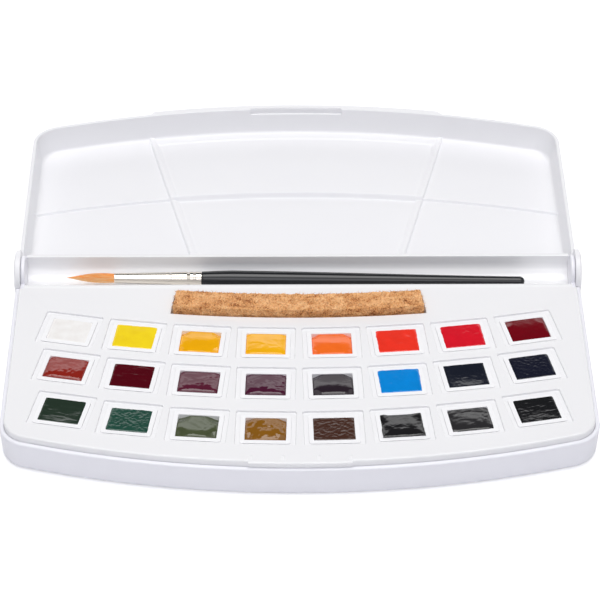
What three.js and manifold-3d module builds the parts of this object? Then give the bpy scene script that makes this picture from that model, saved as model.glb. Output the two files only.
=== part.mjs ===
// A watercolour paint box of white moulded plastic, open on the table: a bowed base with a lift-in tray of
// 24 half pans, a lid that turns right over about its back edge, a round brush in a trough along the hinge,
// and a strip of natural sponge. Millimetres, X along the hinge, Y towards the back, Z up.
import * as THREE from "three";
import { mergeVertices } from "three/addons/utils/BufferGeometryUtils.js";
import Module from "manifold-3d";

const wasm = await Module();
wasm.setup();

// The box. Base and lid share one outline and are equally high, so the hinge axis lies at half the closed height.
const BOX_WIDTH = 232;
const BOX_REACH = 123.5; // hinge axis to the front-most point of either half
const FRONT_RADIUS = 382; // the bowed front, seen from above
const CORNER_RADIUS = 13; // the two front corners, seen from above
const AXIS_HEIGHT = 13.5;
const WALL = 1.6;
const DRAFT = 0.7; // how far the outer walls lean in towards their foot
const RIM_ROUNDING = 0.5;
const FIT_GAP = 0.3; // between two pieces that rest on each other or pass each other
const OVERRUN = 1; // how far a cut runs past what it cuts
const WELD = 0.4; // how deep two joined bodies run into each other
const SAME_POINT = 1e-6;

// The base.
const BASE_FLOOR = 1.6;
const BASE_FOOT_ROUNDING = 2.2;
const BASE_INNER_ROUNDING = 1.7;
const SHELF_DEPTH = 2; // from the ledge down to the shelf that carries the tray
const SHELF_WIDTH = 1.4;
const SHELF_THICKNESS = 1;
const SHELF_SLOPE_HEIGHT = 1.6; // the slanted underside of the shelf
const BACK_WALL_REACH = 14.2; // hinge axis to the back of the base's box
const HINGE_BLOCK_DEPTH = 5; // the solid corners beside the cheeks

// The hinge. Ear discs on the lid turn on pins moulded on the base's cheeks. A half-round spine on the base
// goes under the trough, and a curved back on the lid goes round the spine.
const EAR_RADIUS = 9.6;
const EAR_PROUD = 0.2; // the ear's rim past the side wall
const EAR_FACE_RADIUS = 8.6;
const EAR_FACE_PROUD = 0.6; // the ear's raised face past the side wall
const PIN_RADIUS = 2.5;
const PIN_PLAY = 0.25;
const PIN_LENGTH = 1.2; // in the ear
const BOSS_RADIUS = 7.2; // the round top of a cheek
const CHEEK_THICKNESS = 1.7;
const SPINE_RADIUS = 10.8;
const SPINE_WALL = 1.2;
const SPINE_TOP_RISE = 0.8; // the spine's back edge above the axis
const WEB_THICKNESS = 1.2;
const WEB_TOP_DROP = 0.7; // the web between back wall and spine, below the axis
const LID_BACK_START = THREE.MathUtils.degToRad(192); // the free edge of the lid's curved back, when open
const LID_BACK_CLEARANCE = 0.6; // between the lid and the spine

// The tray.
const TRAY_TOP = 15.9;
const TRAY_PLATE = 1.6;
const TRAY_SKIRT = 1.4;
const TRAY_EDGE_ROUNDING = 0.8;
const TRAY_CORNER_CUT = 4; // the slanted corners beside the hinge blocks

// The brush trough, part of the tray: an oval channel with a soft shoulder towards the pans.
const TROUGH_HALF_WIDTH = 8.2;
const TROUGH_DEPTH = 6;
const TROUGH_RIM_DROP = 3.4; // from the tray's top down to where the oval channel begins
const TROUGH_WALL = 0.95;
const SHOULDER_WIDTH = 5.2;
const TROUGH_LIP_ROUNDING = 0.4;
const TROUGH_FLANGE_REACH = 9.9;
const TROUGH_FLANGE_THICKNESS = 1.3;

// The half pans and their places: three bowed rows of eight, each pan turned with its row. The strips and rows
// leave each pan its standard size, 19 by 16.2 mm.
const PAN_HEIGHT = 9.5;
const PAN_WALL = 1.55;
const PAN_FLOOR = 1.2;
const PAN_DRAFT = 0.4;
const PAN_CORNER = 1;
const PAN_RIM_DROP = 0.6; // the pan's rim below the tray's top
const COLUMNS = 8;
const COLUMNS_INSET = 10.8; // from the box's side to the first column's strip
const COLUMN_SPACING = 7.3; // between two pans of a row
const COLUMN_TURN = THREE.MathUtils.degToRad(3.25); // from one pan to the next
const ROW_SPACING = 9.3; // between the pans of the two back rows
const ROW_PLACE_SHARES = [0.3279, 0.5595, 0.8038]; // of the way from the trough to the front
const ROW_RADII = [465, 405, 385];
const RECESS_SIDE_MARGIN = 2.2; // round the pan, along its row
const RECESS_END_MARGIN = 2.1;
const RECESS_DEPTH = 1;
const RECESS_CORNER = 2;
const POCKET_WALL = 1;

// The paint.
const PAINT_DROP = 0.6; // the paint's edge below the pan's rim
const PAINT_GAP = 0.15;
const PAINT_CROWN = 0.4;
const PAINT_CROWN_INSET = 3;

// The sponge, bowed like the first row of pans, and its shallow pocket.
const SPONGE_LENGTH = 101;
const SPONGE_WIDTH = 11.4;
const SPONGE_THICKNESS = 5.7;
const SPONGE_PLACE_SHARE = 0.1217; // of the way from the trough to the front
const SPONGE_EDGE_ROUNDING = 0.8;
const SPONGE_PLAY = 0.5;
const SPONGE_POCKET_DEPTH = 2.5;
const SPONGE_POCKET_WALL = 1;

// The catch at the front: the tray's edge sticks out over an undercut, and a bead in the lid goes under it.
const CATCH_HALF_WIDTH = 20;
const CATCH_PROUD = 0.9;
const CATCH_THICKNESS = 1.1;
const CATCH_UNDERCUT = 0.6;
const BEAD_PROUD = 0.2;
const BEAD_HEIGHT = 0.6;
const BEAD_DEPTH = 0.4; // the bead below the lid's rim
const DIMPLE_LENGTH = 3; // four small pockets in the tray beside the catch
const DIMPLE_WIDTH = 1.8;
const DIMPLE_DEPTH = 0.6;
const DIMPLE_INSET = 3.8;
const DIMPLE_PLACE_SHARES = [-0.94, -0.33, 0.35, 0.95]; // of the catch's half width

// The lid: a thin upper wall that goes round the tray, a thicker one below it, and the ribs between six wells.
const LID_PANEL = 1.8;
const LID_FOOT_ROUNDING = 3;
const LID_THIN_DEPTH = 2.7;
const LID_STEP = 0.8;
const LID_WALL = 2.4;
const LID_INNER_DRAFT = 0.5;
const LID_INNER_ROUNDING = 1.5;
const THUMB_LIP_PROUD = 2;
const THUMB_LIP_HEIGHT = 2.6;
const THUMB_LIP_HALF_LENGTH = 66;
const THUMB_LIP_TAPER = 2.5;
const RIB_HEIGHT = 1;
const ARC_RIB_WIDTH = 1;
const ARC_RIB_PLACE_SHARE = 0.5757; // of the box's reach
const ARC_RIB_RADIUS = 440;
const SWELL_WIDTH = 3; // the arc rib between the slanted ribs, wide and low
const SWELL_HEIGHT = 0.6;
const SLANT_RIB_WIDTH = 2.2;
const SLANT_RIB_NEAR_SHARE = 0.3569; // of the box's half width
const SLANT_RIB_NEAR_REACH = 14;
const SLANT_RIB_FAR_SHARE = 0.5638; // of the box's half width
const SLANT_RIB_FAR_INSET = 1.83; // from the outside of the front wall, so it ends in that wall

// The brush: a tapered wooden handle, a crimped metal ferrule and a pointed tuft, lying with its tip to the left.
// Its places along X are shares of the trough's half length.
const TAIL_SHARE = 0.8385;
const TAIL_RADIUS = 2;
const BELLY_SHARE = -0.223;
const BELLY_RADIUS = 3.55;
const FERRULE_BACK_SHARE = -0.3568;
const FERRULE_BACK_RADIUS = 3;
const FERRULE_MOUTH_SHARE = -0.678;
const FERRULE_MOUTH_RADIUS = 2;
const FERRULE_WALL = 0.3;
const CRIMP_DEPTH = 0.25;
const CRIMP_WIDTH = 0.8;
const CRIMP_PLACE_SHARES = [0.7, 0.91]; // of the ferrule's length, from its mouth
const TENON_LENGTH = 5;
const TUFT_LENGTH_SHARE = 0.174; // past the ferrule
const TUFT_ROOT_LENGTH = 4; // in the ferrule
const TUFT_ROOT_RADIUS = 1.15;
const TUFT_BELLY_RADIUS = 2;
const TUFT_BACKING_RADIUS = 1.4;
const TUFT_BACKING_THICKNESS = 0.6;
const STRAND_COUNT = 300;
const STRAND_RADIUS = 0.05; // at the root
const TUFT_BELLY_SHARE = 0.28; // of the tuft's length, from the ferrule
const TUFT_NECK_SHARE = 0.72;
const TUFT_NECK_RADIUS_SHARE = 0.62; // of the belly's radius
const TUFT_TIP_RADIUS_SHARE = 0.06;
const OUTER_STRAND_SHORTER_SHARE = 0.07;

// How finely the curves are drawn.
const CORNER_STEPS = 6;
const FRONT_STEPS = 16;
const ROUND_STEPS = 3;
const SMALL_CORNER_STEPS = 2;
const TROUGH_STEPS = 12;
const SHOULDER_STEPS = 5;
const DISC_SIDES = 36;
const BRUSH_SIDES = 18;
const STRAND_SIDES = 3;
const GOLDEN_ANGLE = Math.PI * (3 - Math.sqrt(5));
const QUARTER_TURN = Math.PI / 2;
const HALF_TURN = Math.PI;
const FULL_TURN = 2 * Math.PI;

// Worked out from the sizes above.
const HALF_WIDTH = BOX_WIDTH / 2;
const WALL_FACE = HALF_WIDTH - WALL;
const CHEEK_OUTER = WALL_FACE - FIT_GAP;
const CHEEK_INNER = CHEEK_OUTER - CHEEK_THICKNESS;
const TROUGH_HALF_LENGTH = CHEEK_INNER - FIT_GAP;
const LEDGE_HEIGHT = AXIS_HEIGHT - FIT_GAP;
const SHELF_HEIGHT = LEDGE_HEIGHT - SHELF_DEPTH;
const TRAY_INSET = WALL + FIT_GAP;
const TRAY_UNDERSIDE = TRAY_TOP - TRAY_PLATE;
const TROUGH_RIM_HEIGHT = TRAY_TOP - TROUGH_RIM_DROP;
const TROUGH_FLOOR = TROUGH_RIM_HEIGHT - TROUGH_DEPTH;
const SHOULDER_REACH = TROUGH_HALF_WIDTH + SHOULDER_WIDTH;
const TROUGH_TO_FRONT = BOX_REACH - SHOULDER_REACH;
const SPONGE_REACH = SHOULDER_REACH + SPONGE_PLACE_SHARE * TROUGH_TO_FRONT;
const ROW_REACHES = ROW_PLACE_SHARES.map((share) => SHOULDER_REACH + share * TROUGH_TO_FRONT);
const COLUMN_PITCH = (BOX_WIDTH - 2 * COLUMNS_INSET) / COLUMNS;
const PAN_LENGTH = COLUMN_PITCH - COLUMN_SPACING;
const PAN_WIDTH = ROW_REACHES[1] - ROW_REACHES[0] - ROW_SPACING;
const PAN_BOTTOM = TRAY_TOP - PAN_RIM_DROP - PAN_HEIGHT;
const POCKET_FLOOR = PAN_BOTTOM - FIT_GAP;
const SPONGE_POCKET_FLOOR = TRAY_TOP - SPONGE_POCKET_DEPTH;
const FRONT_CENTRE = FRONT_RADIUS - BOX_REACH; // from the hinge axis back to the middle of the front's arc
const CORNER_X = HALF_WIDTH - CORNER_RADIUS;
const CORNER_Y = FRONT_CENTRE - Math.sqrt((FRONT_RADIUS - CORNER_RADIUS) ** 2 - CORNER_X ** 2);
const CORNER_TURN = Math.asin(CORNER_X / (FRONT_RADIUS - CORNER_RADIUS)); // where front and corner arcs meet
const FRONT_DIRECTION = 3 * QUARTER_TURN;
const ARC_RIB_REACH = ARC_RIB_PLACE_SHARE * BOX_REACH;
const SLANT_RIB_NEAR_X = SLANT_RIB_NEAR_SHARE * HALF_WIDTH;
const SLANT_RIB_FAR_X = SLANT_RIB_FAR_SHARE * HALF_WIDTH;
const SLANT_RIB_FAR_REACH = Math.sqrt((FRONT_RADIUS - SLANT_RIB_FAR_INSET) ** 2 - SLANT_RIB_FAR_X ** 2) - FRONT_CENTRE;
const TAIL_X = TAIL_SHARE * TROUGH_HALF_LENGTH;
const BELLY_X = BELLY_SHARE * TROUGH_HALF_LENGTH;
const FERRULE_BACK_X = FERRULE_BACK_SHARE * TROUGH_HALF_LENGTH;
const FERRULE_MOUTH_X = FERRULE_MOUTH_SHARE * TROUGH_HALF_LENGTH;
const TUFT_LENGTH = TUFT_LENGTH_SHARE * TROUGH_HALF_LENGTH;

// Turning three.js geometry into solids that can be joined and cut, and back.
function solidOf(geometry) {
  const source = geometry.index ? geometry.toNonIndexed() : geometry;
  const bare = new THREE.BufferGeometry();
  bare.setAttribute("position", source.getAttribute("position"));
  const merged = mergeVertices(bare);
  const vertProperties = new Float32Array(merged.getAttribute("position").array);
  const triVerts = new Uint32Array(merged.index.array);
  return new wasm.Manifold(new wasm.Mesh({ numProp: 3, vertProperties, triVerts }));
}

function geometryOf(solid) {
  const { numProp, vertProperties, triVerts } = solid.getMesh();
  const positions = new Float32Array((vertProperties.length / numProp) * 3);
  for (let i = 0; i < positions.length / 3; i += 1) {
    positions.set(vertProperties.subarray(i * numProp, i * numProp + 3), i * 3);
  }
  const geometry = new THREE.BufferGeometry();
  geometry.setAttribute("position", new THREE.BufferAttribute(positions, 3));
  geometry.setIndex(new THREE.BufferAttribute(new Uint32Array(triVerts), 1));
  geometry.computeVertexNormals();
  return geometry;
}

function joined(first, ...others) {
  return others.reduce((whole, next) => whole.add(next), first);
}

function cutBy(first, ...cutters) {
  return cutters.reduce((left, cutter) => left.subtract(cutter), first);
}

// Points along an arc or part of an ellipse, both ends included.
function arc(cx, cy, rx, ry, from, to, steps) {
  return Array.from({ length: steps + 1 }, (_, i) => {
    const angle = from + ((to - from) * i) / steps;
    return new THREE.Vector2(cx + rx * Math.cos(angle), cy + ry * Math.sin(angle));
  });
}

// Runs of points end to end, without a point that repeats the one before it.
function chain(...runs) {
  const points = runs.flat();
  return points.filter((p, i) => p.distanceTo(points.at(i - 1)) > SAME_POINT);
}

// A closed body through rings of equally many points, from the lowest up. Each ring is counter-clockwise seen
// from above, and the first and last ones are capped.
function loft(rings) {
  const count = rings[0].length;
  const index = [];
  for (let r = 0; r + 1 < rings.length; r += 1) {
    for (let i = 0; i < count; i += 1) {
      const a = r * count + i;
      const b = r * count + ((i + 1) % count);
      index.push(a, b, b + count, a, b + count, a + count);
    }
  }
  const top = (rings.length - 1) * count;
  const outline = rings[0].map((p) => new THREE.Vector2(p.x, p.y));
  for (const [a, b, c] of THREE.ShapeUtils.triangulateShape(outline, [])) {
    index.push(a, c, b, top + a, top + b, top + c);
  }
  const geometry = new THREE.BufferGeometry();
  const positions = rings.flat().flatMap((p) => [p.x, p.y, p.z]);
  geometry.setAttribute("position", new THREE.Float32BufferAttribute(positions, 3));
  geometry.setIndex(index);
  return geometry;
}

function ringAt(outline, z) {
  return outline.map((p) => new THREE.Vector3(p.x, p.y, z));
}

// A body of one outline in the YZ plane, running along X between two distances from the middle on one side.
function alongX(outline, from, to, side = 1) {
  const start = Math.min(side * from, side * to);
  const geometry = new THREE.ExtrudeGeometry(new THREE.Shape(outline), {
    depth: Math.abs(to - from),
    bevelEnabled: false,
  });
  const [x, y, z] = [new THREE.Vector3(1, 0, 0), new THREE.Vector3(0, 1, 0), new THREE.Vector3(0, 0, 1)];
  geometry.applyMatrix4(new THREE.Matrix4().makeBasis(y, z, x));
  return solidOf(geometry.translate(start, 0, 0));
}

// A body of one outline in the XY plane, standing between two heights.
function upright(outline, from, to) {
  const geometry = new THREE.ExtrudeGeometry(new THREE.Shape(outline), {
    depth: to - from,
    bevelEnabled: false,
  });
  return solidOf(geometry.translate(0, 0, from));
}

function boxBetween([x0, x1], [y0, y1], [z0, z1]) {
  const geometry = new THREE.BoxGeometry(x1 - x0, y1 - y0, z1 - z0);
  return solidOf(geometry.translate((x0 + x1) / 2, (y0 + y1) / 2, (z0 + z1) / 2));
}

function rectangleBetween([x0, x1], [y0, y1]) {
  return [[x0, y0], [x1, y0], [x1, y1], [x0, y1]].map(([x, y]) => new THREE.Vector2(x, y));
}

function rectangle(length, width, corner, steps) {
  const x = length / 2 - corner;
  const y = width / 2 - corner;
  const corners = [[x, y], [-x, y], [-x, -y], [x, -y]];
  return corners.flatMap(([cx, cy], i) => {
    const start = i * QUARTER_TURN;
    return arc(cx, cy, corner, corner, start, start + QUARTER_TURN, steps);
  });
}

// Outlines about the hinge axis, in the YZ plane.
function hingeArc(radius, from, to, steps) {
  return arc(0, AXIS_HEIGHT, radius, radius, from, to, steps);
}

function hingeDisc(radius) {
  return chain(hingeArc(radius, 0, FULL_TURN, DISC_SIDES));
}

// The base's outline from above, moved in by an inset and closed by a straight back.
function boxOutline(inset, backY) {
  const x = HALF_WIDTH - inset;
  const corner = CORNER_RADIUS - inset;
  const front = FRONT_RADIUS - inset;
  const [left, right] = [FRONT_DIRECTION - CORNER_TURN, FRONT_DIRECTION + CORNER_TURN];
  return chain(
    [new THREE.Vector2(-x, backY)],
    arc(-CORNER_X, CORNER_Y, corner, corner, HALF_TURN, left, CORNER_STEPS),
    arc(0, FRONT_CENTRE, front, front, left, right, FRONT_STEPS),
    arc(CORNER_X, CORNER_Y, corner, corner, right, FULL_TURN, CORNER_STEPS),
    [new THREE.Vector2(x, backY)],
  );
}

// The lid lies behind the hinge, so its outlines are those of the base turned over in Y.
function behindHinge(outline) {
  return outline.map((p) => new THREE.Vector2(p.x, -p.y)).reverse();
}

// A band along the bowed front, from one inset and half width to another.
function frontBand([outerInset, outerHalf], [innerInset, innerHalf]) {
  const run = (inset, half) => {
    const radius = FRONT_RADIUS - inset;
    const turn = Math.asin(half / radius);
    return arc(0, FRONT_CENTRE, radius, radius, FRONT_DIRECTION - turn, FRONT_DIRECTION + turn, CORNER_STEPS);
  };
  return [...run(outerInset, outerHalf), ...run(innerInset, innerHalf).reverse()];
}

// Insets and heights of the outer wall that base and lid share, from the rounded foot up to the rim.
function outerWall(rounding, top) {
  const foot = arc(DRAFT + rounding, rounding, rounding, rounding, FRONT_DIRECTION, HALF_TURN, ROUND_STEPS);
  return [...foot.map((p) => [p.x, p.y]), [0, top - RIM_ROUNDING], [RIM_ROUNDING, top]];
}

const materials = {
  base: new THREE.MeshStandardMaterial({ color: 0xe9e9f0, roughness: 0.35, metalness: 0 }),
  lid: new THREE.MeshStandardMaterial({ color: 0xf1f1f4, roughness: 0.4, metalness: 0 }),
  tray: new THREE.MeshStandardMaterial({ color: 0xf5f5f6, roughness: 0.25, metalness: 0 }),
  pan: new THREE.MeshStandardMaterial({ color: 0xfcfcfc, roughness: 0.3, metalness: 0 }),
  sponge: new THREE.MeshStandardMaterial({ color: 0xc98f55, roughness: 1, metalness: 0 }),
  handle: new THREE.MeshStandardMaterial({ color: 0x15161a, roughness: 0.15, metalness: 0 }),
  ferrule: new THREE.MeshStandardMaterial({ color: 0xd8d3cc, roughness: 0.12, metalness: 1 }),
  tuft: new THREE.MeshStandardMaterial({ color: 0xe08a3c, roughness: 0.5, metalness: 0 }),
};

// The colours of the paints from the left, one row after another from the back.
const PAINT_COLOURS = [
  [0xf6f1ec, 0xffd51f, 0xf2ab05, 0xffb410, 0xff6f22, 0xf03524, 0xd81528, 0x700011],
  [0x8c2218, 0x520010, 0x430019, 0x3d0f22, 0x1d1820, 0x0086d8, 0x14181f, 0x121527],
  [0x14261a, 0x0d3f31, 0x34401a, 0x7a4f12, 0x35211b, 0x0d0d10, 0x2c2b2d, 0x17181a],
];

// The origin lies under the middle of the open box, which the thumb lip makes longer at the back.
const group = new THREE.Group();
const box = new THREE.Group();
box.position.y = -THUMB_LIP_PROUD / 2;
group.add(box);

function place(parent, name, geometry, material) {
  const mesh = new THREE.Mesh(geometry, material);
  mesh.name = name;
  parent.add(mesh);
}

// The base: an open box with a ledge round it, a shelf for the tray, cheeks with the hinge pins and the spine.
function baseShell() {
  const outer = outerWall(BASE_FOOT_ROUNDING, LEDGE_HEIGHT);
  const slopeFoot = SHELF_HEIGHT - SHELF_THICKNESS - SHELF_SLOPE_HEIGHT;
  const hollow = [
    [WALL + DRAFT + BASE_INNER_ROUNDING, BASE_FLOOR],
    [WALL + DRAFT, BASE_FLOOR + BASE_INNER_ROUNDING],
    [WALL + FIT_GAP, slopeFoot],
    [WALL + SHELF_WIDTH, SHELF_HEIGHT - SHELF_THICKNESS],
    [WALL + SHELF_WIDTH, SHELF_HEIGHT],
    [WALL, SHELF_HEIGHT],
    [WALL, LEDGE_HEIGHT + OVERRUN],
  ];
  const body = loft(outer.map(([inset, z]) => ringAt(boxOutline(inset, -FIT_GAP), z)));
  const room = loft(hollow.map(([inset, z]) => ringAt(boxOutline(inset, -BACK_WALL_REACH - WALL), z)));
  const behind = boxBetween([-WALL_FACE, WALL_FACE], [-BACK_WALL_REACH, 0], [-OVERRUN, AXIS_HEIGHT]);
  const walls = cutBy(solidOf(body), solidOf(room), behind);
  const corners = [-1, 1].reduce((shell, side) => hingeCorner(shell, side), walls);
  return joined(corners, alongX(spineOutline(), -CHEEK_OUTER + WELD, CHEEK_OUTER - WELD), web());
}

// One hinge corner: room for the lid's ear in the side wall, a solid block, a cheek and its pin.
function hingeCorner(shell, side) {
  const earRoom = alongX(hingeDisc(EAR_RADIUS + FIT_GAP), WALL_FACE - WELD, HALF_WIDTH + OVERRUN, side);
  const blockReach = BACK_WALL_REACH + HINGE_BLOCK_DEPTH;
  const block = rectangleBetween([-blockReach, -BACK_WALL_REACH], [BASE_FLOOR - WELD, LEDGE_HEIGHT]);
  const halfDisc = hingeArc(SPINE_RADIUS, HALF_TURN, FULL_TURN, DISC_SIDES / 2);
  return joined(
    shell.subtract(earRoom),
    alongX(block, CHEEK_INNER, WALL_FACE + WELD, side),
    alongX(halfDisc, CHEEK_INNER, CHEEK_OUTER, side),
    alongX(hingeDisc(BOSS_RADIUS), CHEEK_INNER, CHEEK_OUTER, side),
    alongX(hingeDisc(PIN_RADIUS), CHEEK_OUTER - WELD, WALL_FACE + PIN_LENGTH, side),
  );
}

// The half-round under the trough, from the web at its front to a little above the axis at its back.
function spineOutline() {
  const run = (radius) => {
    const front = HALF_TURN + Math.asin(WEB_TOP_DROP / radius);
    const back = FULL_TURN + Math.asin(SPINE_TOP_RISE / radius);
    return hingeArc(radius, front, back, DISC_SIDES / 2);
  };
  return [...run(SPINE_RADIUS), ...run(SPINE_RADIUS - SPINE_WALL).reverse()];
}

function web() {
  const top = AXIS_HEIGHT - WEB_TOP_DROP;
  const spineMiddle = SPINE_RADIUS - SPINE_WALL / 2;
  const outline = rectangleBetween([-BACK_WALL_REACH - WELD, -spineMiddle], [top - WEB_THICKNESS, top]);
  return alongX(outline, -CHEEK_OUTER, CHEEK_OUTER);
}

// Where the pans sit: their middles, and their turn about the upright.
const PAN_PLACES = ROW_RADII.flatMap((radius, row) =>
  Array.from({ length: COLUMNS }, (_, column) => {
    const steps = column - (COLUMNS - 1) / 2;
    const x = steps * COLUMN_PITCH;
    const y = radius - Math.sqrt(radius ** 2 - x ** 2) - ROW_REACHES[row];
    return { row, column, x, y, turn: steps * COLUMN_TURN };
  }),
);

function atPan(outline, { x, y, turn }) {
  const [rowMiddle, middle] = [new THREE.Vector2(), new THREE.Vector2(x, y)];
  return outline.map((p) => p.clone().rotateAround(rowMiddle, turn).add(middle));
}

// The pan's outline from above at a height over its foot, moved in by an inset.
function panOutline(height, inset) {
  const less = 2 * (inset + PAN_DRAFT * (1 - height / PAN_HEIGHT));
  return rectangle(PAN_LENGTH - less, PAN_WIDTH - less, PAN_CORNER, 1);
}

// The sponge's outline from above: a strip bowed like the first row of pans, moved in by an inset.
function spongeOutline(inset) {
  const radius = ROW_RADII[0];
  const turn = Math.asin((SPONGE_LENGTH / 2 - inset) / radius);
  const half = SPONGE_WIDTH / 2 - inset;
  const [left, right] = [FRONT_DIRECTION - turn, FRONT_DIRECTION + turn];
  const run = (r) => arc(0, radius - SPONGE_REACH, r, r, left, right, CORNER_STEPS);
  return [...run(radius + half), ...run(radius - half).reverse()];
}

// The trough's section: shoulder, oval channel, back wall and a small flange over the spine's edge.
function troughOutline() {
  const rim = TROUGH_RIM_HEIGHT;
  const plateEnd = -SHOULDER_REACH - WELD;
  const outerHalf = TROUGH_HALF_WIDTH + TROUGH_WALL;
  const outerDepth = TROUGH_DEPTH + TROUGH_WALL;
  const [underWidth, underRise] = [SHOULDER_WIDTH - TROUGH_WALL, TRAY_UNDERSIDE - rim];
  const flangeFoot = TRAY_TOP - TROUGH_FLANGE_THICKNESS;
  return [
    new THREE.Vector2(plateEnd, TRAY_TOP),
    ...arc(-SHOULDER_REACH, rim, SHOULDER_WIDTH, TROUGH_RIM_DROP, QUARTER_TURN, 0, SHOULDER_STEPS),
    ...arc(0, rim, TROUGH_HALF_WIDTH, TROUGH_DEPTH, HALF_TURN, FULL_TURN, TROUGH_STEPS).slice(1),
    new THREE.Vector2(TROUGH_HALF_WIDTH, TRAY_TOP - TROUGH_LIP_ROUNDING),
    new THREE.Vector2(TROUGH_HALF_WIDTH + TROUGH_LIP_ROUNDING, TRAY_TOP),
    new THREE.Vector2(TROUGH_FLANGE_REACH, TRAY_TOP),
    new THREE.Vector2(TROUGH_FLANGE_REACH, flangeFoot),
    new THREE.Vector2(outerHalf, flangeFoot),
    ...arc(0, rim, outerHalf, outerDepth, FULL_TURN, HALF_TURN, TROUGH_STEPS),
    ...arc(-SHOULDER_REACH, rim, underWidth, underRise, 0, QUARTER_TURN, SHOULDER_STEPS).slice(1),
    new THREE.Vector2(plateEnd, TRAY_UNDERSIDE),
  ];
}

// The tray: a plate with a skirt, 24 pockets with shallow recesses, the sponge's pocket, trough and catch.
function panTray() {
  const blockFront = -BACK_WALL_REACH - HINGE_BLOCK_DEPTH - FIT_GAP;
  const wellHead = TRAY_UNDERSIDE + WELD;
  const wells = PAN_PLACES.map((at) => {
    const outline = atPan(pocketRectangle(FIT_GAP + POCKET_WALL), at);
    return upright(outline, POCKET_FLOOR - POCKET_WALL, wellHead);
  });
  const spongeWall = spongeOutline(-SPONGE_PLAY - SPONGE_POCKET_WALL);
  const whole = joined(
    trayPlate(blockFront),
    traySkirt(blockFront - TRAY_CORNER_CUT),
    alongX(troughOutline(), -TROUGH_HALF_LENGTH, TROUGH_HALF_LENGTH),
    ...wells,
    upright(spongeWall, SPONGE_POCKET_FLOOR - SPONGE_POCKET_WALL, wellHead),
    catchEdge(),
  );
  const spongeRoom = upright(spongeOutline(-SPONGE_PLAY), SPONGE_POCKET_FLOOR, TRAY_TOP + OVERRUN);
  return cutBy(whole, ...PAN_PLACES.flatMap(pocketCuts), spongeRoom, undercut(), ...dimples());
}

function trayPlate(blockFront) {
  const rounding = arc(
    TRAY_INSET + TRAY_EDGE_ROUNDING,
    TRAY_TOP - TRAY_EDGE_ROUNDING,
    TRAY_EDGE_ROUNDING,
    TRAY_EDGE_ROUNDING,
    HALF_TURN,
    QUARTER_TURN,
    ROUND_STEPS,
  );
  const edge = [[TRAY_INSET, TRAY_UNDERSIDE], ...rounding.map((p) => [p.x, p.y])];
  const plate = solidOf(loft(edge.map(([inset, z]) => ringAt(boxOutline(inset, -SHOULDER_REACH), z))));
  const cornerCut = [
    [TROUGH_HALF_LENGTH, 0],
    [TROUGH_HALF_LENGTH, blockFront],
    [HALF_WIDTH - TRAY_INSET, blockFront - TRAY_CORNER_CUT],
    [HALF_WIDTH, blockFront - TRAY_CORNER_CUT],
    [HALF_WIDTH, 0],
  ];
  const cuts = [-1, 1].map((side) => {
    const outline = cornerCut.map(([x, y]) => new THREE.Vector2(side * x, y));
    return upright(outline, TRAY_UNDERSIDE - OVERRUN, TRAY_TOP + OVERRUN);
  });
  return cutBy(plate, ...cuts);
}

function traySkirt(backY) {
  const foot = SHELF_HEIGHT + FIT_GAP;
  const outer = upright(boxOutline(TRAY_INSET, backY), foot, TRAY_UNDERSIDE + WELD);
  const inner = boxOutline(TRAY_INSET + TRAY_SKIRT, backY + OVERRUN);
  return outer.subtract(upright(inner, foot - OVERRUN, TRAY_UNDERSIDE));
}

function pocketRectangle(margin) {
  return rectangle(PAN_LENGTH + 2 * margin, PAN_WIDTH + 2 * margin, PAN_CORNER, 1);
}

function pocketCuts(at) {
  const [length, width] = [PAN_LENGTH + 2 * RECESS_SIDE_MARGIN, PAN_WIDTH + 2 * RECESS_END_MARGIN];
  const recess = rectangle(length, width, RECESS_CORNER, SMALL_CORNER_STEPS);
  return [
    upright(atPan(recess, at), TRAY_TOP - RECESS_DEPTH, TRAY_TOP + OVERRUN),
    upright(atPan(pocketRectangle(FIT_GAP), at), POCKET_FLOOR, TRAY_TOP + OVERRUN),
  ];
}

function catchEdge() {
  const outline = frontBand([TRAY_INSET - CATCH_PROUD, CATCH_HALF_WIDTH], [TRAY_INSET + WELD, CATCH_HALF_WIDTH]);
  return upright(outline, TRAY_TOP - CATCH_THICKNESS, TRAY_TOP - TRAY_EDGE_ROUNDING / 2);
}

function undercut() {
  const outline = frontBand([0, CATCH_HALF_WIDTH], [TRAY_INSET + CATCH_UNDERCUT, CATCH_HALF_WIDTH]);
  return upright(outline, LEDGE_HEIGHT, TRAY_TOP - CATCH_THICKNESS);
}

function dimples() {
  const [halfWidth, halfLength] = [DIMPLE_WIDTH / 2, DIMPLE_LENGTH / 2];
  const y = DIMPLE_INSET - BOX_REACH;
  return DIMPLE_PLACE_SHARES.map((share) => {
    const x = share * CATCH_HALF_WIDTH;
    return boxBetween(
      [x - halfWidth, x + halfWidth],
      [y - halfLength, y + halfLength],
      [TRAY_TOP - DIMPLE_DEPTH, TRAY_TOP + OVERRUN],
    );
  });
}

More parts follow.
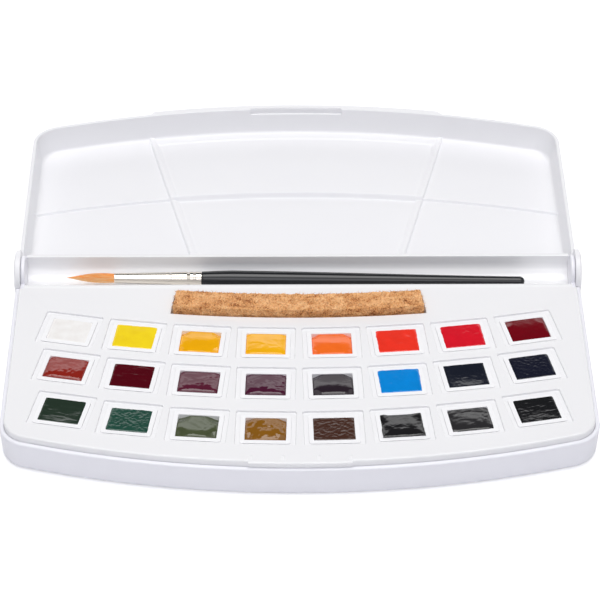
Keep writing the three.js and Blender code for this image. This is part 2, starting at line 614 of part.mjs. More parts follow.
// The lid, lying open behind the base: walls, panel, curved back, ears, thumb lip, catch bead and ribs.
function lidShell() {
  const outer = outerWall(LID_FOOT_ROUNDING, AXIS_HEIGHT);
  const stepTop = AXIS_HEIGHT - LID_THIN_DEPTH;
  const hollow = [
    [LID_WALL + LID_INNER_DRAFT + LID_INNER_ROUNDING, LID_PANEL],
    [LID_WALL + LID_INNER_DRAFT, LID_PANEL + LID_INNER_ROUNDING],
    [LID_WALL, stepTop - LID_STEP],
    [WALL, stepTop],
    [WALL, AXIS_HEIGHT + OVERRUN],
  ];
  const rings = (steps, backY) => steps.map(([inset, z]) => ringAt(behindHinge(boxOutline(inset, backY)), z));
  const cheekRoom = alongX(hingeDisc(SPINE_RADIUS + LID_BACK_CLEARANCE), -WALL_FACE, WALL_FACE);
  const withBack = joined(
    cutBy(solidOf(loft(rings(outer, 0))), solidOf(loft(rings(hollow, OVERRUN))), cheekRoom),
    alongX(lidBackOutline(), -CHEEK_OUTER, CHEEK_OUTER),
    ...ribs(),
    thumbLip(),
  );
  const withEars = [-1, 1].reduce((lid, side) => withEar(lid, side), withBack);
  return withEars.subtract(catchRoom(stepTop)).add(bead());
}

// From its free edge down and round to the panel, about the hinge axis.
function lidBackOutline() {
  const run = (radius) => hingeArc(radius, LID_BACK_START, FRONT_DIRECTION, DISC_SIDES / 4);
  return [
    ...run(AXIS_HEIGHT),
    new THREE.Vector2(WELD, 0),
    new THREE.Vector2(WELD, LID_PANEL),
    ...run(AXIS_HEIGHT - LID_PANEL).reverse(),
  ];
}

function withEar(lid, side) {
  const rim = alongX(hingeDisc(EAR_RADIUS), WALL_FACE, HALF_WIDTH + EAR_PROUD, side);
  const face = alongX(hingeDisc(EAR_FACE_RADIUS), WALL_FACE, HALF_WIDTH + EAR_FACE_PROUD, side);
  const boreEnd = WALL_FACE + PIN_LENGTH + FIT_GAP;
  const bore = alongX(hingeDisc(PIN_RADIUS + PIN_PLAY), WALL_FACE - OVERRUN, boreEnd, side);
  return joined(lid, rim, face).subtract(bore);
}

function thumbLip() {
  const outline = frontBand(
    [-THUMB_LIP_PROUD, THUMB_LIP_HALF_LENGTH - THUMB_LIP_TAPER],
    [WALL / 2, THUMB_LIP_HALF_LENGTH],
  );
  return upright(behindHinge(outline), AXIS_HEIGHT - THUMB_LIP_HEIGHT, AXIS_HEIGHT);
}

// Behind the thumb lip the wall leaves room for the tray's catch edge.
function catchRoom(foot) {
  const half = CATCH_HALF_WIDTH + FIT_GAP;
  const outline = frontBand([TRAY_INSET - CATCH_PROUD - FIT_GAP, half], [WALL + OVERRUN, half]);
  return upright(behindHinge(outline), foot, AXIS_HEIGHT + OVERRUN);
}

function bead() {
  const face = TRAY_INSET - CATCH_PROUD - FIT_GAP;
  const outline = frontBand([face - WELD, CATCH_HALF_WIDTH], [face + BEAD_PROUD, CATCH_HALF_WIDTH]);
  const top = AXIS_HEIGHT - BEAD_DEPTH;
  return upright(behindHinge(outline), top - BEAD_HEIGHT, top);
}

// The ribs on the lid's panel: two slanted ones and an arched one that crosses them.
function ribs() {
  const foot = LID_PANEL - WELD;
  const along = (ARC_RIB_REACH - SLANT_RIB_NEAR_REACH) / (SLANT_RIB_FAR_REACH - SLANT_RIB_NEAR_REACH);
  const crossing = THREE.MathUtils.lerp(SLANT_RIB_NEAR_X, SLANT_RIB_FAR_X, along);
  const inWall = HALF_WIDTH - LID_WALL + WELD;
  const swell = upright(archedBand(-crossing, crossing, SWELL_WIDTH), foot, LID_PANEL + SWELL_HEIGHT);
  const sides = [-1, 1].flatMap((side) => {
    const [from, to] = [crossing, inWall].map((x) => side * x).sort((a, b) => a - b);
    return [
      upright(archedBand(from, to, ARC_RIB_WIDTH), foot, LID_PANEL + RIB_HEIGHT),
      upright(slantRibOutline(side), foot, LID_PANEL + RIB_HEIGHT),
    ];
  });
  return [swell, ...sides];
}

function archedBand(fromX, toX, width) {
  const run = (radius) => {
    const [start, end] = [toX, fromX].map((x) => Math.acos(x / radius));
    return arc(0, ARC_RIB_REACH - ARC_RIB_RADIUS, radius, radius, start, end, CORNER_STEPS);
  };
  return [...run(ARC_RIB_RADIUS + width / 2), ...run(ARC_RIB_RADIUS - width / 2).reverse()];
}

function slantRibOutline(side) {
  const near = new THREE.Vector2(side * SLANT_RIB_NEAR_X, SLANT_RIB_NEAR_REACH);
  const far = new THREE.Vector2(side * SLANT_RIB_FAR_X, SLANT_RIB_FAR_REACH);
  const direction = far.clone().sub(near).normalize();
  const across = new THREE.Vector2(-direction.y, direction.x).multiplyScalar(SLANT_RIB_WIDTH / 2);
  return [
    near.clone().add(across),
    near.clone().sub(across),
    far.clone().sub(across),
    far.clone().add(across),
  ];
}

// A half pan, and the paint that is cast in it.
function panBody() {
  const outer = loft([0, PAN_HEIGHT].map((z) => ringAt(panOutline(z, 0), z)));
  const inside = [PAN_FLOOR, PAN_HEIGHT].map((z) => ringAt(panOutline(z, PAN_WALL), z));
  const mouth = ringAt(panOutline(PAN_HEIGHT, PAN_WALL), PAN_HEIGHT + OVERRUN);
  return solidOf(outer).subtract(solidOf(loft([...inside, mouth])));
}

function paintBody() {
  const foot = PAN_FLOOR + PAINT_GAP;
  const edge = PAN_HEIGHT - PAINT_DROP;
  return loft([
    ringAt(panOutline(foot, PAN_WALL + PAINT_GAP), foot),
    ringAt(panOutline(edge, PAN_WALL + PAINT_GAP), edge),
    ringAt(panOutline(edge, PAN_WALL + PAINT_CROWN_INSET), edge + PAINT_CROWN),
  ]);
}

function spongeBody() {
  const rounding = SPONGE_EDGE_ROUNDING;
  const lift = SPONGE_POCKET_FLOOR + FIT_GAP;
  const steps = [
    [rounding, 0],
    [0, rounding],
    [0, SPONGE_THICKNESS - rounding],
    [rounding, SPONGE_THICKNESS],
  ];
  return loft(steps.map(([inset, z]) => ringAt(spongeOutline(inset), lift + z)));
}

// A turned body about the X axis, from a profile of places along X and radii that begins and ends on the axis.
function turnedAlongX(profile) {
  const points = profile.map(([x, radius]) => new THREE.Vector2(radius, x));
  return new THREE.LatheGeometry(points, BRUSH_SIDES).rotateZ(-QUARTER_TURN);
}

function ferruleRadius(x) {
  const along = (x - FERRULE_MOUTH_X) / (FERRULE_BACK_X - FERRULE_MOUTH_X);
  return THREE.MathUtils.lerp(FERRULE_MOUTH_RADIUS, FERRULE_BACK_RADIUS, along);
}

const BACK_BORE_END = FERRULE_BACK_X - TENON_LENGTH - FIT_GAP;
const BACK_BORE_RADIUS = ferruleRadius(BACK_BORE_END) - FERRULE_WALL;
const MOUTH_BORE_RADIUS = FERRULE_MOUTH_RADIUS - FERRULE_WALL;

// Handle: a tenon in the ferrule, a full belly, and a long taper to a round tail.
function brushHandle() {
  const tenonEnd = FERRULE_BACK_X - TENON_LENGTH;
  const tenonRadius = BACK_BORE_RADIUS - FIT_GAP;
  const shoulderX = FERRULE_BACK_X + FIT_GAP;
  const bellyRun = [0, 0.5, 1].map((share) => {
    const x = THREE.MathUtils.lerp(shoulderX, BELLY_X, share);
    return [x, THREE.MathUtils.lerp(FERRULE_BACK_RADIUS, BELLY_RADIUS, Math.sin(share * QUARTER_TURN))];
  });
  const taperRun = [0.15, 0.35, 0.6, 1].map((share) => {
    const x = THREE.MathUtils.lerp(BELLY_X, TAIL_X - TAIL_RADIUS, share);
    const fall = (1 - Math.cos(share * HALF_TURN)) / 2;
    return [x, THREE.MathUtils.lerp(BELLY_RADIUS, TAIL_RADIUS, (fall + share) / 2)];
  });
  const tail = arc(TAIL_X - TAIL_RADIUS, 0, TAIL_RADIUS, TAIL_RADIUS, QUARTER_TURN, 0, ROUND_STEPS);
  return turnedAlongX([
    [tenonEnd, 0],
    [tenonEnd, tenonRadius],
    [shoulderX, tenonRadius],
    ...bellyRun,
    ...taperRun,
    ...tail.slice(1, -1).map((p) => [p.x, p.y]),
    [TAIL_X, 0],
  ]);
}

// Ferrule: a tapered tube, solid between its two bores, with two crimped grooves.
function brushFerrule() {
  const mouthBoreEnd = FERRULE_MOUTH_X + TUFT_ROOT_LENGTH + FIT_GAP;
  const grooves = CRIMP_PLACE_SHARES.flatMap((share) => {
    const x = THREE.MathUtils.lerp(FERRULE_MOUTH_X, FERRULE_BACK_X, share);
    const [front, back] = [x - CRIMP_WIDTH / 2, x + CRIMP_WIDTH / 2];
    return [[front, ferruleRadius(front)], [x, ferruleRadius(x) - CRIMP_DEPTH], [back, ferruleRadius(back)]];
  });
  return turnedAlongX([
    [mouthBoreEnd, 0],
    [mouthBoreEnd, MOUTH_BORE_RADIUS],
    [FERRULE_MOUTH_X, MOUTH_BORE_RADIUS],
    [FERRULE_MOUTH_X, FERRULE_MOUTH_RADIUS],
    ...grooves,
    [FERRULE_BACK_X, FERRULE_BACK_RADIUS],
    [FERRULE_BACK_X, BACK_BORE_RADIUS],
    [BACK_BORE_END, BACK_BORE_RADIUS],
    [BACK_BORE_END, 0],
  ]);
}

// Tuft: hairs laid out in a sunflower pattern on a small disc. One profile spreads and gathers them all, so
// that no two cross, and the outer ones end a little sooner.
function brushTuft() {
  const rootX = FERRULE_MOUTH_X + TUFT_ROOT_LENGTH;
  const backing = turnedAlongX([
    [rootX - TUFT_BACKING_THICKNESS, 0],
    [rootX - TUFT_BACKING_THICKNESS, TUFT_BACKING_RADIUS],
    [rootX, TUFT_BACKING_RADIUS],
    [rootX, 0],
  ]);
  const bellySpread = TUFT_BELLY_RADIUS / TUFT_ROOT_RADIUS;
  const neckSpread = bellySpread * TUFT_NECK_RADIUS_SHARE;
  const tipSpread = bellySpread * TUFT_TIP_RADIUS_SHARE;
  const neckX = FERRULE_MOUTH_X - TUFT_LENGTH * TUFT_NECK_SHARE;
  const rings = [
    { x: rootX - TUFT_BACKING_THICKNESS / 2, spread: 1 },
    { x: FERRULE_MOUTH_X - TUFT_LENGTH * TUFT_BELLY_SHARE, spread: bellySpread },
    { x: neckX, spread: neckSpread },
  ];
  const positions = [];
  const index = [];
  for (let strand = 0; strand < STRAND_COUNT; strand += 1) {
    const outwards = Math.sqrt((strand + 0.5) / STRAND_COUNT);
    const angle = strand * GOLDEN_ANGLE;
    const rootY = TUFT_ROOT_RADIUS * outwards * Math.cos(angle);
    const rootZ = TUFT_ROOT_RADIUS * outwards * Math.sin(angle);
    const tipX = FERRULE_MOUTH_X - TUFT_LENGTH * (1 - OUTER_STRAND_SHORTER_SHARE * outwards ** 2);
    const pastNeck = (neckX - tipX) / (neckX - FERRULE_MOUTH_X + TUFT_LENGTH);
    const tip = THREE.MathUtils.lerp(neckSpread, tipSpread, pastNeck);
    index.push(...strandFaces(positions.length / 3, rings.length));
    for (const { x, spread } of rings) {
      for (let side = 0; side < STRAND_SIDES; side += 1) {
        const turn = angle + (side * FULL_TURN) / STRAND_SIDES;
        const y = (rootY + STRAND_RADIUS * Math.cos(turn)) * spread;
        const z = (rootZ + STRAND_RADIUS * Math.sin(turn)) * spread;
        positions.push(x, y, z);
      }
    }
    positions.push(tipX, rootY * tip, rootZ * tip);
  }
  const hairs = new THREE.BufferGeometry();
  hairs.setAttribute("position", new THREE.Float32BufferAttribute(positions, 3));
  hairs.setIndex(index);
  return geometryOf(solidOf(hairs).add(solidOf(backing)));
}

// The faces of one hair, which grows towards -X: a flat root, sides from ring to ring, and a point.
function strandFaces(first, ringCount) {
  const faces = [];
  const tip = first + ringCount * STRAND_SIDES;
  for (let side = 1; side + 1 < STRAND_SIDES; side += 1) {
    faces.push(first, first + side, first + side + 1);
  }
  for (let ring = 0; ring < ringCount; ring += 1) {
    for (let side = 0; side < STRAND_SIDES; side += 1) {
      const a = first + ring * STRAND_SIDES + side;
      const b = first + ring * STRAND_SIDES + ((side + 1) % STRAND_SIDES);
      if (ring + 1 === ringCount) {
        faces.push(b, a, tip);
      } else {
        faces.push(b, a, a + STRAND_SIDES, b, a + STRAND_SIDES, b + STRAND_SIDES);
      }
    }
  }
  return faces;
}

// The brush lies on its belly and its tail on the trough's floor.
function placeBrush() {
  const brush = new THREE.Group();
  const lying = new THREE.Group();
  lying.position.x = -BELLY_X;
  brush.position.set(BELLY_X, 0, TROUGH_FLOOR + FIT_GAP + BELLY_RADIUS);
  brush.rotation.y = Math.asin((BELLY_RADIUS - TAIL_RADIUS) / (TAIL_X - BELLY_X));
  brush.add(lying);
  box.add(brush);
  place(lying, "brush_handle", brushHandle(), materials.handle);
  place(lying, "brush_ferrule", brushFerrule(), materials.ferrule);
  place(lying, "brush_tuft", brushTuft(), materials.tuft);
}

function placePans() {
  const panGeometry = geometryOf(panBody());
  const paintGeometry = paintBody();
  PAN_PLACES.forEach(({ row, column, x, y, turn }, i) => {
    const number = String(i + 1).padStart(2, "0");
    const color = PAINT_COLOURS[row][column];
    const paint = new THREE.MeshStandardMaterial({ color, roughness: 0.25, metalness: 0 });
    const seat = new THREE.Group();
    seat.position.set(x, y, PAN_BOTTOM);
    seat.rotation.z = turn;
    box.add(seat);
    place(seat, `pan_${number}`, panGeometry, materials.pan);
    place(seat, `paint_${number}`, paintGeometry, paint);
  });
}

place(box, "base_shell", geometryOf(baseShell()), materials.base);
place(box, "pan_tray", geometryOf(panTray()), materials.tray);
place(box, "lid", geometryOf(lidShell()), materials.lid);
place(box, "sponge", spongeBody(), materials.sponge);
placeBrush();
placePans();

export default group;
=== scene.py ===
# %% [markdown]
# # A watercolour paint box in Blender
#
# This lesson dresses a CAD model of a flat paint box: a bowed base with a tray of 24 half pans, a lid that
# lies open behind it, a round brush in a trough along the hinge, and a strip of natural sponge. The CAD model
# gives every size and says what moves. Blender gives the fine shapes and the finishes.
#
# The frame comes first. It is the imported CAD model, one object for each piece, and every piece made below
# stands exactly where the CAD piece stands.

# %% The frame
import math

import bmesh
import bpy
import numpy as np
from mathutils import Matrix, Vector


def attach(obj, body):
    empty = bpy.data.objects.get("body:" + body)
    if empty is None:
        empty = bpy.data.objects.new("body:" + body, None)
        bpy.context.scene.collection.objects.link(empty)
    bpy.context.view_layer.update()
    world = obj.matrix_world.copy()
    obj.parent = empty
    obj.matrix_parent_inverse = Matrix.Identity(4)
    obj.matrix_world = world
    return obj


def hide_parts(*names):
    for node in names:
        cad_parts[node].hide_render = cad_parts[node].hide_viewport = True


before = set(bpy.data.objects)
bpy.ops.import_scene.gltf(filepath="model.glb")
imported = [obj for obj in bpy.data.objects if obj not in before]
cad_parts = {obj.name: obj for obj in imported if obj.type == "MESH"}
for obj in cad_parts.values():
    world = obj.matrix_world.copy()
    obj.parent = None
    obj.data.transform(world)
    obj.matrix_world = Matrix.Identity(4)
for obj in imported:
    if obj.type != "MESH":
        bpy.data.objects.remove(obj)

scene = bpy.context.scene
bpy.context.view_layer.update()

# %% [markdown]
# ## Sizes
#
# A box like this is drawn from a few sizes: how wide it is, how far it reaches from the hinge, how its front
# is bowed. They are repeated here in millimetres, measured from the hinge's axis, because people think of
# such a box in millimetres. One function turns finished points into metres in the frame of the model, whose
# origin lies 1 mm behind the hinge.

# %% Sizes in millimetres
BOX_WIDTH = 232.0
BOX_REACH = 123.5
FRONT_RADIUS = 382.0
CORNER_RADIUS = 13.0
AXIS_HEIGHT = 13.5
WALL = 1.6
DRAFT = 0.7
FIT_GAP = 0.3
WELD = 0.4
OVERRUN = 1.0
HALF_WIDTH = BOX_WIDTH / 2
WALL_FACE = HALF_WIDTH - WALL
CHEEK_OUTER = WALL_FACE - FIT_GAP
CHEEK_INNER = CHEEK_OUTER - 1.7
LEDGE_HEIGHT = AXIS_HEIGHT - FIT_GAP
TRAY_TOP = 15.9
TRAY_INSET = WALL + FIT_GAP
HINGE_FROM_ORIGIN = -1.0
MM_PER_METRE = 1000


def metres(points):
    """Points in millimetres from the hinge, as metres in the model's frame."""
    points = np.asarray(points, float).reshape(-1, 3)
    return (points + [0, HINGE_FROM_ORIGIN, 0]) / MM_PER_METRE


print("box:", BOX_WIDTH, "by", 2 * BOX_REACH, "mm when open")

# %% [markdown]
# ## The camera
#
# The photographer stood a little over a metre away and looked down by about 38 degrees with a long lens, so
# the sides of the box run together only slightly. The camera was fitted to the corners of the paints, and its
# numbers are the angles and the distance from that fit.

# %% Camera
LOOK_DOWN = math.radians(37.66)
TILT = math.radians(-0.20)
ROUND = Matrix.Rotation(math.radians(-0.57), 3, "Z")
DISTANCE = 1145.8
FOCAL_IN_FRAMES = 4.584
SLIDE_RIGHT, SLIDE_UP = -0.87, 0.56

right = Vector((1, 0, 0))
up = Vector((0, math.sin(LOOK_DOWN), math.cos(LOOK_DOWN)))
ahead = Vector((0, math.cos(LOOK_DOWN), -math.sin(LOOK_DOWN)))
eye = ROUND @ (-SLIDE_RIGHT * right - SLIDE_UP * up - DISTANCE * ahead)
camera_right = ROUND @ (math.cos(TILT) * right - math.sin(TILT) * up)
camera_up = ROUND @ (math.sin(TILT) * right + math.cos(TILT) * up)
camera_back = -(ROUND @ ahead)

lens = bpy.data.cameras.new("camera")
lens.sensor_width = 36
lens.sensor_fit = "HORIZONTAL"
lens.lens = FOCAL_IN_FRAMES * lens.sensor_width
lens.clip_end = 20
camera = bpy.data.objects.new("camera", lens)
turned = Matrix((camera_right, camera_up, camera_back)).transposed().to_4x4()
camera.matrix_world = Matrix.Translation(Vector(metres([eye])[0])) @ turned
scene.collection.objects.link(camera)
scene.camera = camera
print("camera:", round(lens.lens), "mm lens at", [round(v, 3) for v in camera.location])

# %% [markdown]
# ## Nodes and colours
#
# Materials, lights and geometry trees are all built from nodes, and one small function adds any of them: it
# takes the node's kind, what goes into its sockets and its settings. The part that fills sockets also serves
# a node that is there already, such as a new material's shader. Colours are written as the hex values a
# painter would pick on a screen, and one function turns them into the linear light that Cycles works in.


# %% Node helper and colour helper
def fill(tree, node, sockets):
    """Gives each socket a value, or a link if it is given another node, or one of its sockets."""
    for socket, value in sockets.items():
        if isinstance(value, bpy.types.Node):
            value = value.outputs[0]
        if isinstance(value, bpy.types.NodeSocket):
            tree.links.new(value, node.inputs[socket])
        else:
            node.inputs[socket].default_value = value
    return node


def add(tree, kind, sockets=None, **settings):
    """Adds a node with its settings, values and links."""
    node = tree.nodes.new(kind)
    for name, value in settings.items():
        setattr(node, name, value)
    return fill(tree, node, sockets or {})


MATH = "ShaderNodeMath"
VECTOR_MATH = "ShaderNodeVectorMath"
NOISE = "ShaderNodeTexNoise"
MIX = "ShaderNodeMix"


def linear(hex_colour):
    """An sRGB hex colour as linear RGBA."""
    values = [((hex_colour >> shift) & 255) / 255 for shift in (16, 8, 0)]
    return [v / 12.92 if v <= 0.04045 else ((v + 0.055) / 1.055) ** 2.4 for v in values] + [1.0]


print("white plastic in linear light:", [round(v, 3) for v in linear(0xF4F4F6)[:3]])

# %% [markdown]
# ## Floor, world and lamps
#
# The photograph was taken on a white sweep under large soft boxes. The floor here is a pale sheet that keeps
# the object's shadow. The world gives even, slightly cool light. Where the camera looks at it, it is white.
# Where a mirror looks at it, it is a white studio with two dim gaps: one between the wall behind and the
# ceiling, one low in front. So a wet-looking paint shows the wall where it falls away to the back and keeps
# its deep colour where it is flat, and the polished ferrule gets its thin dark line. One big lamp hangs over
# the box, a second one fills the front, and a long low one brightens the wall behind. All are so large that
# no shadow has a hard edge.

# %% Floor
FLOOR_HALF = 4
floor_corners = [(-FLOOR_HALF, -FLOOR_HALF, 0), (FLOOR_HALF, -FLOOR_HALF, 0),
                 (FLOOR_HALF, FLOOR_HALF, 0), (-FLOOR_HALF, FLOOR_HALF, 0)]
floor_mesh = bpy.data.meshes.new("floor")
floor_mesh.from_pydata(floor_corners, [], [(0, 1, 2, 3)])
floor = bpy.data.objects.new("floor", floor_mesh)
scene.collection.objects.link(floor)

# Matt white paper: it scatters all light and mirrors nothing, so it runs into the background as one white.
# The camera sees it a little lifted, as on a sweep with a lamp of its own.
floor_paper = bpy.data.materials.new("white_background_paper")
floor_paper.use_nodes = True
tree = floor_paper.node_tree
tree.nodes.clear()
paper = add(tree, "ShaderNodeBsdfDiffuse", {"Color": linear(0xFCFCFD)})
glow = add(tree, "ShaderNodeEmission", {"Color": linear(0xFFFFFF), "Strength": 0.34})
dark = add(tree, "ShaderNodeEmission", {"Strength": 0.0})
seen = add(tree, "ShaderNodeLightPath").outputs
lift = add(tree, "ShaderNodeMixShader", {0: seen["Is Camera Ray"], 1: dark, 2: glow})
both = add(tree, "ShaderNodeAddShader", {0: paper, 1: lift})
add(tree, "ShaderNodeOutputMaterial", {"Surface": both})
floor_mesh.materials.append(floor_paper)
print("floor:", 2 * FLOOR_HALF, "m across, marked as stage")

# %% World
# Light levels of the studio in mirrors, by the share of the way from the horizon in front, over the top, to
# the horizon behind.
STUDIO = ((0.07, 1.0), (0.09, 0.06), (0.14, 0.06), (0.17, 1.0), (0.60, 1.0), (0.63, 0.06), (0.805, 0.06),
          (0.83, 1.8), (0.85, 1.8), (0.87, 1.0), (0.91, 0.7))
HORIZON_BEHIND = (0.7, 0.7, 0.7, 1.0)
world = bpy.data.worlds.new("studio")
scene.world = world
world.use_nodes = True
tree = world.node_tree
tree.nodes.clear()
seen = add(tree, "ShaderNodeLightPath").outputs
ambient = add(tree, "ShaderNodeBackground", {"Color": linear(0xF8F9FF), "Strength": 0.32})
direction = add(tree, "ShaderNodeTexCoord").outputs["Generated"]
sides = add(tree, "ShaderNodeSeparateXYZ", {0: direction}).outputs
frontward = add(tree, MATH, {0: sides["Y"], 1: -1.0}, operation="MULTIPLY")
pitch = add(tree, MATH, {0: sides["Z"], 1: frontward}, operation="ARCTAN2")
share = add(tree, MATH, {0: pitch, 1: math.pi}, operation="DIVIDE")
studio = add(tree, "ShaderNodeValToRGB", {"Fac": share})
studio.color_ramp.elements[0].color = linear(0xFFFFFF)
studio.color_ramp.elements[1].color = HORIZON_BEHIND
for from_front, level in STUDIO:
    studio.color_ramp.elements.new(from_front).color = (level, level, level, 1.0)
mirrored = add(tree, "ShaderNodeBackground", {"Color": studio})
white = add(tree, "ShaderNodeBackground", {"Color": linear(0xFFFFFF)})
direct = add(tree, MATH, {0: seen["Is Camera Ray"], 1: seen["Is Transmission Ray"]}, operation="MAXIMUM")
mix = add(tree, "ShaderNodeMixShader", {0: seen["Is Glossy Ray"], 1: ambient, 2: mirrored})
mix = add(tree, "ShaderNodeMixShader", {0: direct, 1: mix, 2: white})
add(tree, "ShaderNodeOutputWorld", {"Surface": mix})
print("world: even light, and a white studio with two dim gaps for mirrors")


# %% Lamps
def soft_box(name, place, aim, size, power, colour):
    """A rectangular lamp that hangs at a place and looks at a point, both in metres."""
    light = bpy.data.lights.new(name, "AREA")
    light.shape = "RECTANGLE"
    light.size, light.size_y = size
    light.energy = power
    light.color = linear(colour)[:3]
    lamp = bpy.data.objects.new(name, light)
    lamp.location = place
    lamp.rotation_euler = (Vector(aim) - Vector(place)).to_track_quat("-Z", "Y").to_euler()
    scene.collection.objects.link(lamp)
    return lamp


soft_box("over", (0, -0.02, 1.3), (0, 0, 0), (1.3, 0.8), 11.8, 0xFFFEFC)
soft_box("front", (0, -1.35, 1.1), (0, 0, 0), (1.6, 0.7), 5.4, 0xF8F8FF)
strip = soft_box("back wall", (0, 2.3, 0.62), (0, 0, 0.1), (3.4, 1.0), 12.0, 0xFFFFFF)
strip.visible_camera = strip.visible_glossy = False
scene.view_settings.view_transform = "Standard"
print("lamps: one over the box, one in front, one on the wall behind")

# %% [markdown]
# ## White mouldings
#
# Base, lid and tray are injection moulded from white ABS. The tool's steel is polished for the tray, so its
# trough mirrors the brush softly, and lightly blasted for base and lid, so they look like satin. Both keep a
# faint waviness from the flow of the plastic, a few millimetres across, and handling leaves patches that are
# a little smoother. The half pans are of a brighter, smoother white polystyrene.


# %% Moulded plastic
DRIFT_SIZE = 45
PATCH_SIZE = 16


def new_material(name):
    """A new material with its tree and its shader, and the place on the piece that its patterns follow."""
    material = bpy.data.materials.new(name)
    material.use_nodes = True
    tree = material.node_tree
    return material, tree, tree.nodes["Principled BSDF"], add(tree, "ShaderNodeTexCoord").outputs["Object"]


def moulded_plastic(name, light, shade, roughness, wave_size, wave_height, grain_size, grain_height):
    """White plastic: its colour drifts a little, its gloss is patchy, and waves and grain lie on it."""
    material, tree, shader, place = new_material(name)
    drift = add(tree, NOISE, {"Vector": place, "Scale": MM_PER_METRE / DRIFT_SIZE, "Detail": 2.0})
    colour = add(tree, MIX, {0: drift, 6: linear(light), 7: linear(shade)}, data_type="RGBA")
    patches = add(tree, NOISE, {"Vector": place, "Scale": MM_PER_METRE / PATCH_SIZE, "Detail": 3.0})
    gloss = add(tree, "ShaderNodeMapRange", {"Value": patches, "To Min": roughness * 0.85,
                                            "To Max": roughness * 1.15})
    waves = add(tree, NOISE, {"Vector": place, "Scale": MM_PER_METRE / wave_size, "Detail": 1.0})
    grain = add(tree, NOISE, {"Vector": place, "Scale": MM_PER_METRE / grain_size, "Detail": 2.0})
    bump = add(tree, "ShaderNodeBump", {"Height": waves, "Distance": wave_height / MM_PER_METRE,
                                        "Strength": 1.0})
    bump = add(tree, "ShaderNodeBump", {"Height": grain, "Distance": grain_height / MM_PER_METRE,
                                        "Strength": 1.0, "Normal": bump})
    fill(tree, shader, {"Base Color": colour.outputs[2], "Roughness": gloss, "Normal": bump, "IOR": 1.53})
    return material


# ABS off a blasted tool: a soft sheen with no mirror image, and a cool white in the shade. The grain is drawn
# coarser than the real 0.1 mm, which no picture of the whole box would show.
satin_abs = moulded_plastic("satin_white_abs", 0xF3F3F9, 0xF0F0F6, roughness=0.38,
                            wave_size=7, wave_height=0.006, grain_size=0.45, grain_height=0.004)

# The same ABS for the lid, a touch smoother. Its white is painted a little lighter and more neutral, as
# painted light that lifts the palette's shaded walls, so the palette looks clean.
lid_abs_painted_lighter = moulded_plastic("satin_white_abs_lid_painted_lighter", 0xF4F4F6, 0xF1F1F4, roughness=0.36,
                          wave_size=7, wave_height=0.006, grain_size=0.45, grain_height=0.004)

# ABS off a polished tool: soft mirror images, like the brush's in its trough. Its grain is drawn coarser too.
gloss_abs = moulded_plastic("polished_white_abs", 0xF5F5F6, 0xF2F2F4, roughness=0.2,
                            wave_size=9, wave_height=0.006, grain_size=0.5, grain_height=0.0015)

# Polystyrene is brighter and harder than ABS, so the rims of the pans are clean white with small crisp
# lights.
pan_polystyrene = moulded_plastic("white_polystyrene", 0xFBFBFC, 0xF8F8FA, roughness=0.22,
                                  wave_size=6, wave_height=0.004, grain_size=0.5, grain_height=0.001)
print("plastics:", satin_abs.name, lid_abs_painted_lighter.name, gloss_abs.name, pan_polystyrene.name)

# %% [markdown]
# ## Outlines and lofts
#
# Mouldings are easy to describe as stacks of outlines: the same outline again and again, a little further in
# or out, from the foot up to the rim. A loft joins such rings into a closed skin. Roundings are simply more
# rings. Blender's own primitives would give boxes and cylinders only, and a bevel afterwards would not know
# which edge has which radius, so the rings are worked out here.


# %% Arcs, chains and lofts
def arc(cx, cy, rx, ry, start, end, steps):
    """Points along an arc or part of an ellipse, in degrees, both ends included."""
    angles = np.radians(np.linspace(start, end, steps + 1))
    return np.stack([cx + rx * np.cos(angles), cy + ry * np.sin(angles)], 1)


def chain(*runs):
    """Runs of points end to end, without doubled ones."""
    points = np.concatenate([np.atleast_2d(np.asarray(run, float)) for run in runs])
    keep = np.linalg.norm(points - np.roll(points, 1, axis=0), axis=1) > 1e-5
    return points[keep]


def rectangle(low_x, low_y, high_x, high_y):
    return np.array([(low_x, low_y), (high_x, low_y), (high_x, high_y), (low_x, high_y)])


def at_height(outline, z):
    return np.column_stack([outline, np.full(len(outline), z)])


def loft(rings):
    """Points and faces of a closed skin through rings, lowest first, each counter-clockwise from above."""
    count = len(rings[0])
    faces = []
    for r in range(len(rings) - 1):
        for i in range(count):
            j = (i + 1) % count
            a, b = r * count, (r + 1) * count
            faces.append((a + i, a + j, b + j, b + i))
    top = (len(rings) - 1) * count
    faces.append(tuple(range(count - 1, -1, -1)))
    faces.append(tuple(range(top, top + count)))
    return np.concatenate(rings), faces


def raw_object(name, *parts):
    """One object from several (points, faces) in millimetres, its end faces split into triangles."""
    points, faces = [], []
    for part_points, part_faces in parts:
        first = sum(len(p) for p in points)
        points.append(np.asarray(part_points, float).reshape(-1, 3))
        faces += [tuple(first + i for i in face) for face in part_faces]
    mesh = bpy.data.meshes.new(name)
    mesh.from_pydata(metres(np.concatenate(points)).tolist(), [], faces)
    work = bmesh.new()
    work.from_mesh(mesh)
    bmesh.ops.triangulate(work, faces=[face for face in work.faces if len(face.verts) > 4])
    work.to_mesh(mesh)
    work.free()
    piece = bpy.data.objects.new(name, mesh)
    scene.collection.objects.link(piece)
    return piece


print("a quarter arc in 4 steps:", arc(0, 0, 1, 1, 0, 90, 4).round(2).tolist())

# %% [markdown]
# ## Cutting, joining and finishing
#
# Pockets and openings are cut with closed bodies, as a tool maker would think of them. Blender's Boolean
# modifier does this, and its Manifold solver is quick and exact for closed bodies. After that a piece is
# shaded smooth with its real edges kept sharp, and a Weighted Normal modifier keeps its large flat faces
# flat.


# %% Boolean and finish
def carve(body, tools, operation="DIFFERENCE"):
    """Cuts tools out of a body, or joins them to it, and removes the tools."""
    for tool in tools:
        step = body.modifiers.new("carve", "BOOLEAN")
        step.operation = operation
        step.solver = "MANIFOLD"
        step.object = tool
    applied(body)
    for tool in tools:
        bpy.data.objects.remove(tool)


